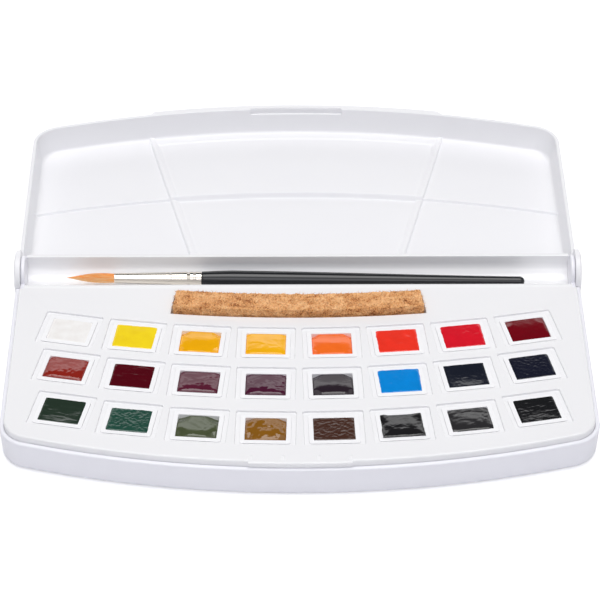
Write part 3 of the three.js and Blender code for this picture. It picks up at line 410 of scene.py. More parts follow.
def applied(piece):
    """The piece with its modifiers turned into plain mesh."""
    graph = bpy.context.evaluated_depsgraph_get()
    mesh = bpy.data.meshes.new_from_object(piece.evaluated_get(graph))
    piece.modifiers.clear()
    piece.data = mesh
    mesh.name = piece.name
    return piece


def finish_piece(piece, material, body, replaced, angle=32, flat_faces=True):
    """Shades a piece, gives it its material, and lets it stand for its CAD nodes."""
    mesh = piece.data
    if material is not None:
        mesh.materials.clear()
        mesh.materials.append(material)
    mesh.polygons.foreach_set("use_smooth", [True] * len(mesh.polygons))
    mesh.set_sharp_from_angle(angle=math.radians(angle))
    if flat_faces:
        piece.modifiers.new("flat faces", "WEIGHTED_NORMAL").keep_sharp = True
    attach(piece, body)
    if replaced:
        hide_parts(*replaced)
    triangles = sum(len(face.vertices) - 2 for face in mesh.polygons)
    print(f"{piece.name}: {triangles} triangles on {body}")


# %% [markdown]
# ## Shapes that several mouldings share
#
# Base, lid and tray have one outline: straight sides, round corners and a bowed front. The bodies round the
# hinge are discs and strips that run along X, so they are turned or pushed along that axis.

# %% The box's outline
FRONT_CENTRE = FRONT_RADIUS - BOX_REACH
CORNER_X = HALF_WIDTH - CORNER_RADIUS
CORNER_Y = FRONT_CENTRE - math.sqrt((FRONT_RADIUS - CORNER_RADIUS) ** 2 - CORNER_X**2)
CORNER_TURN = math.degrees(math.asin(CORNER_X / (FRONT_RADIUS - CORNER_RADIUS)))


def box_outline(inset, back_y, corner_steps=20, front_steps=64):
    """The outline from above, moved in by an inset and closed by a straight back."""
    x = HALF_WIDTH - inset
    corner = CORNER_RADIUS - inset
    left, right = 270 - CORNER_TURN, 270 + CORNER_TURN
    front = FRONT_RADIUS - inset
    return chain(
        [(-x, back_y)],
        arc(-CORNER_X, CORNER_Y, corner, corner, 180, left, corner_steps),
        arc(0, FRONT_CENTRE, front, front, left, right, front_steps),
        arc(CORNER_X, CORNER_Y, corner, corner, right, 360, corner_steps),
        [(x, back_y)],
    )


def box_loft(steps, back_y):
    """A body with the box's outline, from insets and heights."""
    return loft([at_height(box_outline(inset, back_y), z) for inset, z in steps])


def behind_hinge(outline):
    """The lid lies behind the hinge, so its outlines are turned over in Y."""
    return (outline * [1, -1])[::-1]


def front_band(outer_inset, outer_half, inner_inset, inner_half, steps=24):
    """A band along the bowed front between two insets."""
    runs = []
    for inset, half in ((outer_inset, outer_half), (inner_inset, inner_half)):
        radius = FRONT_RADIUS - inset
        turn = math.degrees(math.asin(half / radius))
        runs.append(arc(0, FRONT_CENTRE, radius, radius, 270 - turn, 270 + turn, steps))
    return np.concatenate([runs[0], runs[1][::-1]])


def outer_wall(foot, top, rim, foot_steps, rim_steps):
    """Insets and heights of an outer wall, from the rounding at its foot up to that at its rim."""
    return np.concatenate([arc(DRAFT + foot, foot, foot, foot, 270, 180, foot_steps),
                           arc(rim, top - rim, rim, rim, 180, 90, rim_steps)])


# %% Bodies along the hinge
def upright(outline, low, high):
    return loft([at_height(outline, low), at_height(outline, high)])


def along_x(outline, low, high):
    """A body of one outline in the YZ plane, counter-clockwise seen from +X, between two places along X."""
    points, faces = upright(outline, low, high)
    return points[:, [2, 0, 1]], faces


def turned_about_x(profile, sides=72, axis_height=AXIS_HEIGHT):
    """A closed turned body from places along X and radii, from the lowest X up."""
    around = arc(0, 0, 1, 1, 0, 360, sides)[:-1]
    points, faces = loft([at_height(around * radius + [0, axis_height], x) for x, radius in profile])
    return points[:, [2, 0, 1]], faces


def mirrored_in_x(part):
    points, faces = part
    return points * [-1, 1, 1], [face[::-1] for face in faces]


def both_sides(name, *parts):
    """Objects from parts of the right side, then from their mirror images on the left side."""
    return [raw_object(name, part) for part in (*parts, *map(mirrored_in_x, parts))]


print("outline:", len(box_outline(0, 0)), "points")

# %% [markdown]
# ## The base
#
# The base is a shallow open box with a narrow ledge all round, on which the tray's edge seems to float. At
# the back its side walls make room for the lid's ears, and two cheeks carry the hinge pins. It is cut from
# lofts in the order in which the CAD model cuts it, with finer roundings. Its ledge comes closer to the tray
# than in the CAD model, because the photograph shows hardly any gap there.

# %% Base
BACK_WALL_REACH = 14.2
BASE_FLOOR = 1.6
BASE_INNER_ROUNDING = 1.7
SHELF_INSET = WALL + 1.4
SHELF_FOOT, SHELF_UNDERSIDE, SHELF_HEIGHT = 8.6, 10.2, 11.2
RIM_INSET = TRAY_INSET - 0.1
RIM_EDGE = 0.15
EAR_RADIUS = 9.6
wall_steps = outer_wall(foot=2.2, top=LEDGE_HEIGHT, rim=0.85, foot_steps=10, rim_steps=7)
base = raw_object("base", box_loft(wall_steps, -FIT_GAP))
hollow_steps = [
    *arc(WALL + DRAFT + BASE_INNER_ROUNDING, BASE_FLOOR + BASE_INNER_ROUNDING, BASE_INNER_ROUNDING,
         BASE_INNER_ROUNDING, 270, 180, 6),
    (WALL + FIT_GAP, SHELF_FOOT), (SHELF_INSET, SHELF_UNDERSIDE), (SHELF_INSET, SHELF_HEIGHT),
    (RIM_INSET, SHELF_HEIGHT), (RIM_INSET, LEDGE_HEIGHT - RIM_EDGE), (RIM_INSET - RIM_EDGE, LEDGE_HEIGHT),
    (RIM_INSET - RIM_EDGE, LEDGE_HEIGHT + OVERRUN)]
hollow = raw_object("hollow", box_loft(hollow_steps, -BACK_WALL_REACH - WALL))
behind = raw_object("behind", upright(rectangle(-WALL_FACE, -BACK_WALL_REACH, WALL_FACE, OVERRUN),
                                      -OVERRUN, LEDGE_HEIGHT + OVERRUN))
ear_room_radius = EAR_RADIUS + FIT_GAP
ear_room = turned_about_x([(WALL_FACE - WELD, ear_room_radius), (HALF_WIDTH + OVERRUN, ear_room_radius)])
carve(base, [hollow, behind, *both_sides("room", ear_room)])
print("base walls:", len(base.data.polygons), "faces")

# %% Hinge corners and spine
SPINE_RADIUS, SPINE_BORE = 10.8, 9.6
SPINE_FRONT_DROP, SPINE_BACK_RISE = 0.7, 0.8
BLOCK_REACH, BLOCK_FOOT = 19.2, 1.2
BOSS_RADIUS, BOSS_EDGE = 7.2, 0.3
BOSS_ROOT_RADIUS = 5.3
PIN_RADIUS, PIN_EDGE = 2.5, 0.2
half_disc = arc(0, AXIS_HEIGHT, SPINE_RADIUS, SPINE_RADIUS, 180, 360, 32)
block = rectangle(-BLOCK_REACH, BLOCK_FOOT, -BACK_WALL_REACH, LEDGE_HEIGHT)
boss = [(CHEEK_INNER, BOSS_ROOT_RADIUS), (CHEEK_INNER, BOSS_RADIUS - BOSS_EDGE),
        (CHEEK_INNER + BOSS_EDGE, BOSS_RADIUS), (CHEEK_OUTER - BOSS_EDGE, BOSS_RADIUS),
        (CHEEK_OUTER, BOSS_RADIUS - BOSS_EDGE)]
pin = [(CHEEK_OUTER - WELD, PIN_RADIUS), (WALL_FACE + 1.0, PIN_RADIUS),
       (WALL_FACE + 1.0 + PIN_EDGE, PIN_RADIUS - PIN_EDGE)]
front_edge = 180 + math.degrees(math.asin(SPINE_FRONT_DROP / SPINE_RADIUS))
back_edge = 360 + math.degrees(math.asin(SPINE_BACK_RISE / SPINE_RADIUS))
spine = np.concatenate([arc(0, AXIS_HEIGHT, SPINE_RADIUS, SPINE_RADIUS, front_edge, back_edge, 40),
                        arc(0, AXIS_HEIGHT, SPINE_BORE, SPINE_BORE, back_edge, front_edge, 40)])
web = rectangle(-14.6, 11.6, -10.2, 12.8)
extras = both_sides("corner", along_x(block, CHEEK_INNER, WALL_FACE + WELD),
                    along_x(half_disc, CHEEK_INNER, CHEEK_OUTER), turned_about_x(boss), turned_about_x(pin))
extras.append(raw_object("spine", along_x(spine, -CHEEK_OUTER + WELD, CHEEK_OUTER - WELD)))
extras.append(raw_object("web", along_x(web, -CHEEK_OUTER, CHEEK_OUTER)))
carve(base, extras, "UNION")
base.name = "base_moulding"
finish_piece(base, satin_abs, "base", ["base_shell"])

# %% [markdown]
# ## The lid
#
# The lid is a tray of the same outline, upside down behind the hinge when open. Its panel is a palette: ribs
# part it into mixing wells. The wall is thinner towards its rim, where it goes round the tray when closed.
# Two discs at its back corners are the ears that turn on the base's pins, a lip at the far side is for the
# thumb, and behind it a small bead snaps under the tray's edge. Its heights are those of the open lid, so its
# rim is at the height of the axis.

# %% Lid walls
LID_PANEL = 1.8
LID_PANEL_INSET = 2.9
LID_INNER_ROUNDING = 1.5
LID_RIM_EDGE = 0.3
SPINE_ROOM_RADIUS = 11.4
RIM_ROUNDING = 0.5


def lid_loft(steps, back_y):
    """A body with the lid's outline, from insets and heights."""
    return loft([at_height(behind_hinge(box_outline(inset, back_y)), z) for inset, z in steps])


lid_steps = outer_wall(foot=3.0, top=AXIS_HEIGHT, rim=RIM_ROUNDING, foot_steps=14, rim_steps=5)
lid = raw_object("lid", lid_loft(lid_steps, 0))
lid_hollow_steps = [
    *arc(LID_PANEL_INSET + LID_INNER_ROUNDING, LID_PANEL + LID_INNER_ROUNDING, LID_INNER_ROUNDING,
         LID_INNER_ROUNDING, 270, 180, 8),
    (WALL, AXIS_HEIGHT - LID_RIM_EDGE), (WALL - LID_RIM_EDGE, AXIS_HEIGHT),
    (WALL - LID_RIM_EDGE, AXIS_HEIGHT + OVERRUN)]
lid_hollow = raw_object("hollow", lid_loft(lid_hollow_steps, OVERRUN))
spine_room = turned_about_x([(-WALL_FACE, SPINE_ROOM_RADIUS), (WALL_FACE, SPINE_ROOM_RADIUS)])
carve(lid, [lid_hollow, raw_object("room", spine_room)])
print("lid walls:", len(lid.data.polygons), "faces")

# %% Lid back, ears and lip
BACK_EDGE_ANGLE = 192
BACK_INNER_RADIUS = AXIS_HEIGHT - LID_PANEL
BORE_RADIUS = PIN_RADIUS + 0.25
LIP_REACH, LIP_HALF, LIP_ROOT_INSET, LIP_ROOT_HALF = 2, 63.5, 0.8, 66
CATCH_HALF = 20
CATCH_ROOM_INSETS, CATCH_ROOM_FOOT = (0.7, 2.6), 10.8
BEAD_INSETS, BEAD_LOW, BEAD_HIGH = (0.3, 0.9), 12.5, 13.1
# The ear's rounded outer edge: places beyond the box's side, and how much smaller than the ear it is there.
EAR_EDGE = ((0, 0), (0.2, 0.25), (0.2, 0.85), (0.35, 1.0), (0.5, 1.1), (0.6, 1.3))
# The lip's rounded edge: how far it is drawn in at each height.
LIP_EDGE = ((0.5, 10.9), (0.15, 11.05), (0.0, 11.4), (0.0, 13.0), (0.15, 13.35), (0.5, AXIS_HEIGHT))
back_strip = np.concatenate([
    arc(0, AXIS_HEIGHT, AXIS_HEIGHT, AXIS_HEIGHT, BACK_EDGE_ANGLE, 270, 28), [(WELD, 0), (WELD, LID_PANEL)],
    arc(0, AXIS_HEIGHT, BACK_INNER_RADIUS, BACK_INNER_RADIUS, 270, BACK_EDGE_ANGLE, 28)])
ear = [(CHEEK_OUTER + 0.1, EAR_RADIUS)] + [(HALF_WIDTH + out, EAR_RADIUS - less) for out, less in EAR_EDGE]
bore = [(WALL_FACE - 1, BORE_RADIUS), (WALL_FACE + 1.5, BORE_RADIUS)]
lip_rings = []
for drawn_in, z in LIP_EDGE:
    band = front_band(drawn_in - LIP_REACH, LIP_HALF - drawn_in, LIP_ROOT_INSET, LIP_ROOT_HALF - drawn_in)
    lip_rings.append(at_height(behind_hinge(band), z))
back = raw_object("back", along_x(back_strip, -CHEEK_OUTER, CHEEK_OUTER))
carve(lid, [back, raw_object("lip", loft(lip_rings)), *both_sides("ear", turned_about_x(ear, 96))], "UNION")
catch_room_half = CATCH_HALF + FIT_GAP
catch_room = front_band(CATCH_ROOM_INSETS[0], catch_room_half, CATCH_ROOM_INSETS[1], catch_room_half)
catch_cutter = raw_object("room", upright(behind_hinge(catch_room), CATCH_ROOM_FOOT, AXIS_HEIGHT + OVERRUN))
carve(lid, [*both_sides("bore", turned_about_x(bore, 48)), catch_cutter])
bead = behind_hinge(front_band(BEAD_INSETS[0], CATCH_HALF, BEAD_INSETS[1], CATCH_HALF))
carve(lid, [raw_object("bead", upright(bead, BEAD_LOW, BEAD_HIGH))], "UNION")
print("lid with ears and lip:", len(lid.data.polygons), "faces")

# %% [markdown]
# The ribs of the palette are soft banks, so each is a smooth hump swept along its line. A hump starts a
# little below the panel and rises out of it without a step, so no seam shows.


# %% Swept humps
HUMP_FOOT = -0.6


def swept_hump(path, section):
    """A closed strip along a path on the panel. Its section gives places across and heights."""
    path = np.asarray(path, float)
    along = np.gradient(path, axis=0)
    along /= np.linalg.norm(along, axis=1)[:, None]
    across = np.stack([along[:, 1], -along[:, 0]], 1)
    section = [(section[0][0], HUMP_FOOT), *section, (section[-1][0], HUMP_FOOT)]
    rings = []
    for place, side in zip(path, across):
        rings.append([(*(place + side * s), LID_PANEL + h) for s, h in section])
    return loft(rings)


def hump(left_bank, left_top, right_top, right_bank, height, sunk=0.02, steps=9):
    """A section that rises over its left bank, is flat on top and falls over its right bank."""
    points = []
    for t in np.linspace(0, 1, steps):
        points.append((left_bank + (left_top - left_bank) * t, height * (3 * t**2 - 2 * t**3) - sunk))
    for t in np.linspace(0, 1, steps):
        points.append((right_top + (right_bank - right_top) * t, height * (1 - 3 * t**2 + 2 * t**3) - sunk))
    return points


def bowed(x, radius, crown_y):
    """Points on a bow with its crown at x = 0."""
    return np.stack([x, crown_y - radius + np.sqrt(radius**2 - x**2)], 1)


print("a hump's section:", len(hump(-1, 0, 0, 1, 1)), "points")

# %% Ribs of the palette
ARCH_RADIUS, ARCH_REACH, ARCH_END = 440, 71.1, 113.7
SLANT_NEAR, SLANT_FAR = (41.4, 12.2), (65.4, 116.0)
# Where the arch crosses the slanting ribs, to each side of the middle.
CROSSING = 54.8353
BORDER_INSET = 7.2
ribs = []
for side in (-1, 1):
    slant = np.linspace(SLANT_NEAR, SLANT_FAR, 30) * [side, 1]
    section = hump(-1.1, -0.3, 0.5, 3.2, 1.0) if side < 0 else hump(-3.2, -0.5, 0.3, 1.1, 1.0)
    ribs.append(swept_hump(slant, section))
    arch = bowed(np.linspace(CROSSING, ARCH_END, 40) * side, ARCH_RADIUS, ARCH_REACH)
    ribs.append(swept_hump(arch[::side], hump(-1.7, -0.4, 0.2, 0.7, 1.1)))
middle = bowed(np.linspace(-CROSSING, CROSSING, 80), ARCH_RADIUS, ARCH_REACH)
ribs.append(swept_hump(middle, hump(-0.6, -0.1, 0.1, 1.6, 2.3)))
border_x = np.linspace(-SLANT_FAR[0], SLANT_FAR[0], 80)
border = bowed(border_x, FRONT_RADIUS - BORDER_INSET, BOX_REACH - BORDER_INSET)
ribs.append(swept_hump(border, hump(-6.5, -0.6, 0.4, 1.9, 0.5)))
rib_object = raw_object("lid_ribs", *ribs)
outward = bmesh.new()
outward.from_mesh(rib_object.data)
bmesh.ops.recalc_face_normals(outward, faces=outward.faces)
outward.to_mesh(rib_object.data)
outward.free()
lid.name = "lid_moulding"
finish_piece(lid, lid_abs_painted_lighter, "lid", ["lid"])
finish_piece(rib_object, lid_abs_painted_lighter, "lid", [])

# %% [markdown]
# ## The tray
#
# The tray is one thin moulding. Its plate has a rounded edge. Each pan sits in a pocket that goes down from
# the middle of a shallow recess, so that a fingertip gets a hold. The trough for the brush is an oval channel
# with a soft shoulder. Each recess and its pocket are cut with one stack of rounded rectangles, whose rings
# flare out at the edges, so every edge gets its small radius.

# %% Where the pans sit
COLUMNS = 8
COLUMN_PITCH = 26.3
COLUMN_TURN = 3.25
ROW_REACHES = (49.5, 75.0, 101.9)
ROW_RADII = (465.0, 405.0, 385.0)
PAN_LENGTH, PAN_WIDTH, PAN_HEIGHT, PAN_WALL = 19.0, 16.2, 9.5, 1.55
PAN_BOTTOM = TRAY_TOP - 0.6 - PAN_HEIGHT


def pan_place(row, column):
    """The middle of a pan on the plate, and its turn in degrees."""
    steps = column - (COLUMNS - 1) / 2
    x = steps * COLUMN_PITCH
    return x, ROW_RADII[row] - math.sqrt(ROW_RADII[row] ** 2 - x**2) - ROW_REACHES[row], steps * COLUMN_TURN


def placed(outline, place):
    """An outline turned and moved to its place on the plate."""
    x, y, turn = place
    c, s = math.cos(math.radians(turn)), math.sin(math.radians(turn))
    along, across = outline.T
    return np.stack([x + along * c - across * s, y + along * s + across * c], 1)


def rounded_rectangle(length, width, radius, steps=6):
    x, y = length / 2 - radius, width / 2 - radius
    corners = enumerate([(x, y), (-x, y), (-x, -y), (x, -y)])
    runs = [arc(cx, cy, radius, radius, 90 * i, 90 * i + 90, steps) for i, (cx, cy) in corners]
    return np.concatenate(runs)


places = [pan_place(row, column) for row in range(3) for column in range(COLUMNS)]
print("pans:", len(places), "places, the first at", [round(v, 1) for v in places[0]])

# %% Plate, skirt and trough
PLATE_THICKNESS, PLATE_ROUNDING = 1.6, 0.8
PLATE_BACK = 13.4
TRAY_UNDERSIDE = TRAY_TOP - PLATE_THICKNESS
TROUGH_HALF_LENGTH = CHEEK_INNER - 0.05
TROUGH_HALF_WIDTH, TROUGH_DEPTH, TROUGH_WALL = 8.2, 6, 0.95
TROUGH_RIM = TRAY_TOP - 3.4
CORNER_REACH = 11.9
STRIP_WIDTH, STRIP_CLEARANCE = 1.4, 0.05
SKIRT_BACK, SKIRT_FOOT, SKIRT_WALL = 23.5, 11.5, 1.4
LIP_OUTER, LIP_UNDERSIDE = 9.9, 14.6
rounded_edge = arc(TRAY_INSET + PLATE_ROUNDING, TRAY_TOP - PLATE_ROUNDING, PLATE_ROUNDING, PLATE_ROUNDING,
                   180, 90, 7)
tray = raw_object("tray", box_loft([(TRAY_INSET, TRAY_UNDERSIDE), *rounded_edge], -PLATE_BACK))
corner_cut = np.array([(TROUGH_HALF_LENGTH, 0), (TROUGH_HALF_LENGTH, -CORNER_REACH),
                       (HALF_WIDTH, -CORNER_REACH), (HALF_WIDTH, 0)])
carve(tray, both_sides("corner", upright(corner_cut, 10, 18)))
side_strip = along_x(rectangle(-24, LEDGE_HEIGHT + STRIP_CLEARANCE, -12, TRAY_UNDERSIDE + WELD),
                     CHEEK_OUTER - STRIP_WIDTH, CHEEK_OUTER)
skirt = raw_object("skirt", upright(box_outline(TRAY_INSET, -SKIRT_BACK), SKIRT_FOOT, TRAY_UNDERSIDE + WELD))
skirt_room = upright(box_outline(TRAY_INSET + SKIRT_WALL, -SKIRT_BACK + OVERRUN), 10, TRAY_UNDERSIDE)
carve(skirt, [raw_object("room", skirt_room)])
outer_half, outer_depth = TROUGH_HALF_WIDTH + TROUGH_WALL, TROUGH_DEPTH + TROUGH_WALL
trough = np.concatenate([
    [(-PLATE_BACK - WELD, TRAY_TOP)],
    arc(-PLATE_BACK, TROUGH_RIM, PLATE_BACK - TROUGH_HALF_WIDTH, TRAY_TOP - TROUGH_RIM, 90, 0, 14),
    arc(0, TROUGH_RIM, TROUGH_HALF_WIDTH, TROUGH_DEPTH, 180, 360, 48)[1:],
    arc(TROUGH_HALF_WIDTH + 0.4, TRAY_TOP - 0.4, 0.4, 0.4, 180, 90, 5),
    arc(LIP_OUTER - 0.3, TRAY_TOP - 0.3, 0.3, 0.3, 90, 0, 4),
    [(LIP_OUTER, LIP_UNDERSIDE), (outer_half, LIP_UNDERSIDE)],
    arc(0, TROUGH_RIM, outer_half, outer_depth, 360, 180, 48),
    arc(-PLATE_BACK, TROUGH_RIM, PLATE_BACK - outer_half, TRAY_UNDERSIDE - TROUGH_RIM, 0, 90, 14)[1:],
    [(-PLATE_BACK - WELD, TRAY_UNDERSIDE)],
])[::-1]
trough_part = raw_object("trough", along_x(trough, -TROUGH_HALF_LENGTH, TROUGH_HALF_LENGTH))
print("trough section:", len(trough), "points")


# %% Wells under the plate
SPONGE_RADIUS, SPONGE_REACH, SPONGE_SINK = ROW_RADII[0], 26.8, 2.5
SPONGE_LENGTH, SPONGE_WIDTH, SPONGE_HEIGHT = 101, 11.4, 5.7
WELL_LENGTH, WELL_WIDTH, WELL_FOOT = 21.6, 18.8, 4.5
# The catch's edge, which stands out at the front of the plate: how far it is drawn in at each height.
CATCH_EDGE = ((0.35, LEDGE_HEIGHT + 0.05), (0.3, 14.6), (0.1, 14.8), (0.0, 15.0), (0.0, 15.3), (0.1, 15.55),
              (0.35, 15.78), (0.7, 15.89))


def sponge_outline(grow, steps=48):
    """The bowed strip's outline from above, grown by a margin."""
    middle, half = SPONGE_RADIUS - SPONGE_REACH, SPONGE_WIDTH / 2 + grow
    turn = math.degrees(math.asin((SPONGE_LENGTH / 2 + grow) / SPONGE_RADIUS))
    front, back = [arc(0, middle, r, r, 270 - turn, 270 + turn, steps)
                   for r in (SPONGE_RADIUS + half, SPONGE_RADIUS - half)]
    return np.concatenate([front, back[::-1]])


well = rounded_rectangle(WELL_LENGTH, WELL_WIDTH, 1.5)
wells = [upright(placed(well, place), WELL_FOOT, TRAY_UNDERSIDE + WELD) for place in places]
wells.append(upright(sponge_outline(1.5), 12.4, TRAY_UNDERSIDE + WELD))
catch_rings = []
for drawn_in, z in CATCH_EDGE:
    half = CATCH_HALF - drawn_in
    catch_rings.append(at_height(front_band(TRAY_INSET - 0.9 + drawn_in, half, TRAY_INSET + 1.0, half), z))
added = [skirt, *both_sides("side", side_strip), trough_part, *[raw_object("well", part) for part in wells]]
added.append(raw_object("catch", loft(catch_rings)))
carve(tray, added, "UNION")
print("tray before its pockets:", len(tray.data.polygons), "faces")

# %% Pockets and dimples
POCKET_LENGTH, POCKET_WIDTH, POCKET_CORNER, POCKET_FLOOR = 19.6, 16.8, 1.2, 5.5
RECESS_LENGTH, RECESS_WIDTH, RECESS_CORNER = 23.4, 20.4, 1.0
RECESS_FLOOR = TRAY_TOP - 1
FILLET, RECESS_ROUNDING = 0.12, 0.3
# The sponge's pocket: its margin round the strip and heights over the plate, from its floor up.
SPONGE_POCKET = ((0.5, -SPONGE_SINK), (0.5, -0.3), (0.6, -0.1), (0.8, 0), (0.8, OVERRUN))
# The four small dimples in the plate at the catch: half the width, and the depths at the near and far end.
DIMPLE_RINGS = ((0.5, 0.4, 0.1), (0.9, 0, 0), (0.9, -1, -1))
DIMPLE_PLACES = (-18.8, -6.6, 7.0, 19.0)


def flare(outline_at, mouth, radius, steps=4):
    """Rings of a cutter whose upper edge flares out by a radius up to its mouth."""
    angles = np.linspace(0, math.pi / 2, steps + 1)
    curve = [(radius * (1 - math.cos(a)), mouth - radius * (1 - math.sin(a))) for a in angles]
    return [at_height(outline_at(grow), z) for grow, z in curve]


def grown(length, width, corner, grow, place):
    """A rounded rectangle at its place, larger all round by a margin."""
    return placed(rounded_rectangle(length + 2 * grow, width + 2 * grow, corner + grow), place)


def pocket_cutter(place):
    """One recess with its pocket: both edges are rounded, and a fillet runs round the recess's floor."""
    def recess(grow):
        return grown(RECESS_LENGTH, RECESS_WIDTH, RECESS_CORNER, grow, place)

    def pocket(grow):
        return grown(POCKET_LENGTH, POCKET_WIDTH, POCKET_CORNER, grow, place)

    rings = [at_height(pocket(0), POCKET_FLOOR), *flare(pocket, RECESS_FLOOR, FILLET)]
    for a in np.linspace(0, math.pi / 2, 4):
        foot = recess(-FILLET + FILLET * math.sin(a))
        rings.append(at_height(foot, RECESS_FLOOR + FILLET * (1 - math.cos(a))))
    rings += flare(recess, TRAY_TOP, RECESS_ROUNDING)
    rings.append(at_height(recess(RECESS_ROUNDING), TRAY_TOP + OVERRUN))
    return raw_object("pocket", loft(rings))


cutters = [pocket_cutter(place) for place in places]
sponge_rings = [at_height(sponge_outline(margin), TRAY_TOP + over) for margin, over in SPONGE_POCKET]
cutters.append(raw_object("sponge", loft(sponge_rings)))
near, far = 3.0 - BOX_REACH, 5.6 - BOX_REACH
for x in DIMPLE_PLACES:
    rings = []
    for half, near_depth, far_depth in DIMPLE_RINGS:
        heights = TRAY_TOP - np.array([near_depth, near_depth, far_depth, far_depth])
        rings.append(np.column_stack([rectangle(x - half, near, x + half, far), heights]))
    cutters.append(raw_object("dimple", loft(rings)))
carve(tray, cutters)
tray.name = "tray_moulding"
finish_piece(tray, gloss_abs, "base", ["pan_tray"])

# %% [markdown]
# ## The half pans
#
# All 24 pans are the same cup, whose rim has a fine edge that covers the gap to the pocket. Their places
# follow a rule: three bowed rows, with each pan turned with its row. So a Geometry Nodes tree takes one cup
# and sets it down in its column, from the row's radius and reach and the pitch and turn from column to
# column. Each pan can be lifted out by itself, so each gets an object of its own from the tree, and the
# modifier is turned into plain mesh before the pan goes on its body.

# %% One cup
CUP_DRAFT = 0.4
# How far each ring lies inside the cup's face, and its height, up the outside, over the rim and down inside.
CUP_RINGS = ((0.5, 0.0), (0.15, 0.12), (0.0, 0.5), (0.0, 9.14), (-0.3, 9.16), (-0.32, 9.2), (-0.32, 9.42),
             (-0.24, 9.5), (1.4, 9.5), (1.5, 9.46), (PAN_WALL, 9.36), (PAN_WALL, 2.0), (1.7, 1.5), (2.2, 1.2))
cup_rings = []
for inset, z in CUP_RINGS:
    less = 2 * (inset + CUP_DRAFT * (1 - z / PAN_HEIGHT))
    ring = rounded_rectangle(PAN_LENGTH - less, PAN_WIDTH - less, max(0.5 - inset, 0.25))
    cup_rings.append(at_height(ring, z))
cup = raw_object("cup", loft(cup_rings))
cup.data.transform(Matrix.Translation((0, -HINGE_FROM_ORIGIN / MM_PER_METRE, 0)))
print("cup:", len(cup.data.polygons), "faces")


# %% The tree that places it
def new_tree(name, sizes, takes_geometry=False):
    """A geometry tree with an input for each size, which are whole numbers if their defaults are."""
    tree = bpy.data.node_groups.new(name, "GeometryNodeTree")
    tree.interface.new_socket("Geometry", in_out="OUTPUT", socket_type="NodeSocketGeometry")
    if takes_geometry:
        tree.interface.new_socket("Geometry", in_out="INPUT", socket_type="NodeSocketGeometry")
    for size, default in sizes.items():
        kind = "NodeSocketInt" if isinstance(default, int) else "NodeSocketFloat"
        tree.interface.new_socket(size, in_out="INPUT", socket_type=kind).default_value = default
    tree.interface.new_socket("Material", in_out="INPUT", socket_type="NodeSocketMaterial")
    return tree, add(tree, "NodeGroupInput").outputs


def finish_tree(tree, geometry, given):
    """Ends a tree: its instances become real and get the given material."""
    real = add(tree, "GeometryNodeRealizeInstances", {"Geometry": geometry})
    dressed = add(tree, "GeometryNodeSetMaterial", {"Geometry": real, "Material": given["Material"]})
    add(tree, "NodeGroupOutput", {"Geometry": dressed})
    print("tree:", tree.name, "with", len(tree.nodes), "nodes")


row_sizes = {"Column": 0.0, "Column pitch": COLUMN_PITCH, "Column turn": COLUMN_TURN,
             "Row radius": ROW_RADII[0], "Row reach": ROW_REACHES[0], "Foot height": PAN_BOTTOM}
row_tree, given = new_tree("pan_in_its_row", row_sizes, takes_geometry=True)
tree = row_tree
steps = add(tree, MATH, {0: given["Column"], 1: (COLUMNS - 1) / 2}, operation="SUBTRACT")
x = add(tree, MATH, {0: steps, 1: given["Column pitch"]}, operation="MULTIPLY")
x_squared = add(tree, MATH, {0: x, 1: x}, operation="MULTIPLY")
r_squared = add(tree, MATH, {0: given["Row radius"], 1: given["Row radius"]}, operation="MULTIPLY")
left_over = add(tree, MATH, {0: r_squared, 1: x_squared}, operation="SUBTRACT")
chord = add(tree, MATH, {0: left_over}, operation="SQRT")
sag = add(tree, MATH, {0: given["Row radius"], 1: chord}, operation="SUBTRACT")
y = add(tree, MATH, {0: sag, 1: given["Row reach"]}, operation="SUBTRACT")
y = add(tree, MATH, {0: y, 1: HINGE_FROM_ORIGIN}, operation="ADD")
spot = add(tree, "ShaderNodeCombineXYZ", {"X": x, "Y": y, "Z": given["Foot height"]})
spot = add(tree, VECTOR_MATH, {0: spot, "Scale": 0.001}, operation="SCALE")
degrees = add(tree, MATH, {0: steps, 1: given["Column turn"]}, operation="MULTIPLY")
turn = add(tree, MATH, {0: degrees}, operation="RADIANS")
turns = add(tree, "ShaderNodeCombineXYZ", {"Z": turn})
point = add(tree, "GeometryNodePoints", {"Count": 1, "Position": spot})
instance = add(tree, "GeometryNodeInstanceOnPoints", {"Points": point, "Instance": given["Geometry"],
                                                      "Rotation": turns})
finish_tree(tree, instance, given)


# %% Setting down the pans
def through_tree(piece, tree, values):
    """Runs a geometry tree on a piece. Inputs are set by their identifiers before it is first evaluated."""
    step = piece.modifiers.new("tree", "NODES")
    step.node_group = tree
    for item in tree.interface.items_tree:
        if item.in_out == "INPUT" and item.name in values:
            step[item.identifier] = values[item.name]
    applied(piece)


def row_values(number, foot_height, material):
    """What the row's tree needs to set down one pan or its paint."""
    row, column = divmod(number, COLUMNS)
    return {"Column": float(column), "Column pitch": COLUMN_PITCH, "Column turn": COLUMN_TURN,
            "Row radius": ROW_RADII[row], "Row reach": ROW_REACHES[row], "Foot height": foot_height,
            "Material": material}


for number in range(len(places)):
    pan = bpy.data.objects.new(f"half_pan_{number + 1:02d}", cup.data.copy())
    scene.collection.objects.link(pan)
    through_tree(pan, row_tree, row_values(number, PAN_BOTTOM, pan_polystyrene))
    finish_piece(pan, None, f"pan_{number + 1:02d}", [f"pan_{number + 1:02d}"])
bpy.data.objects.remove(cup)

# %% [markdown]
# ## The paints
#
# Watercolour is poured into the pans as a thick syrup of gum arabic and pigment and dries from the top. Its
# skin shrinks, so every cake looks different: some are flat, some have a dome that falls off towards the
# corners, and some are wrinkled. Gum makes them glossy, and deep colours are dark and clear, so the skin's
# shape shows in what it mirrors.
#
# A second tree makes the cakes. It starts from a block with a fine grid, shapes its top from a dome, a fall
# at the corners and wrinkles, and can make its outline ragged.

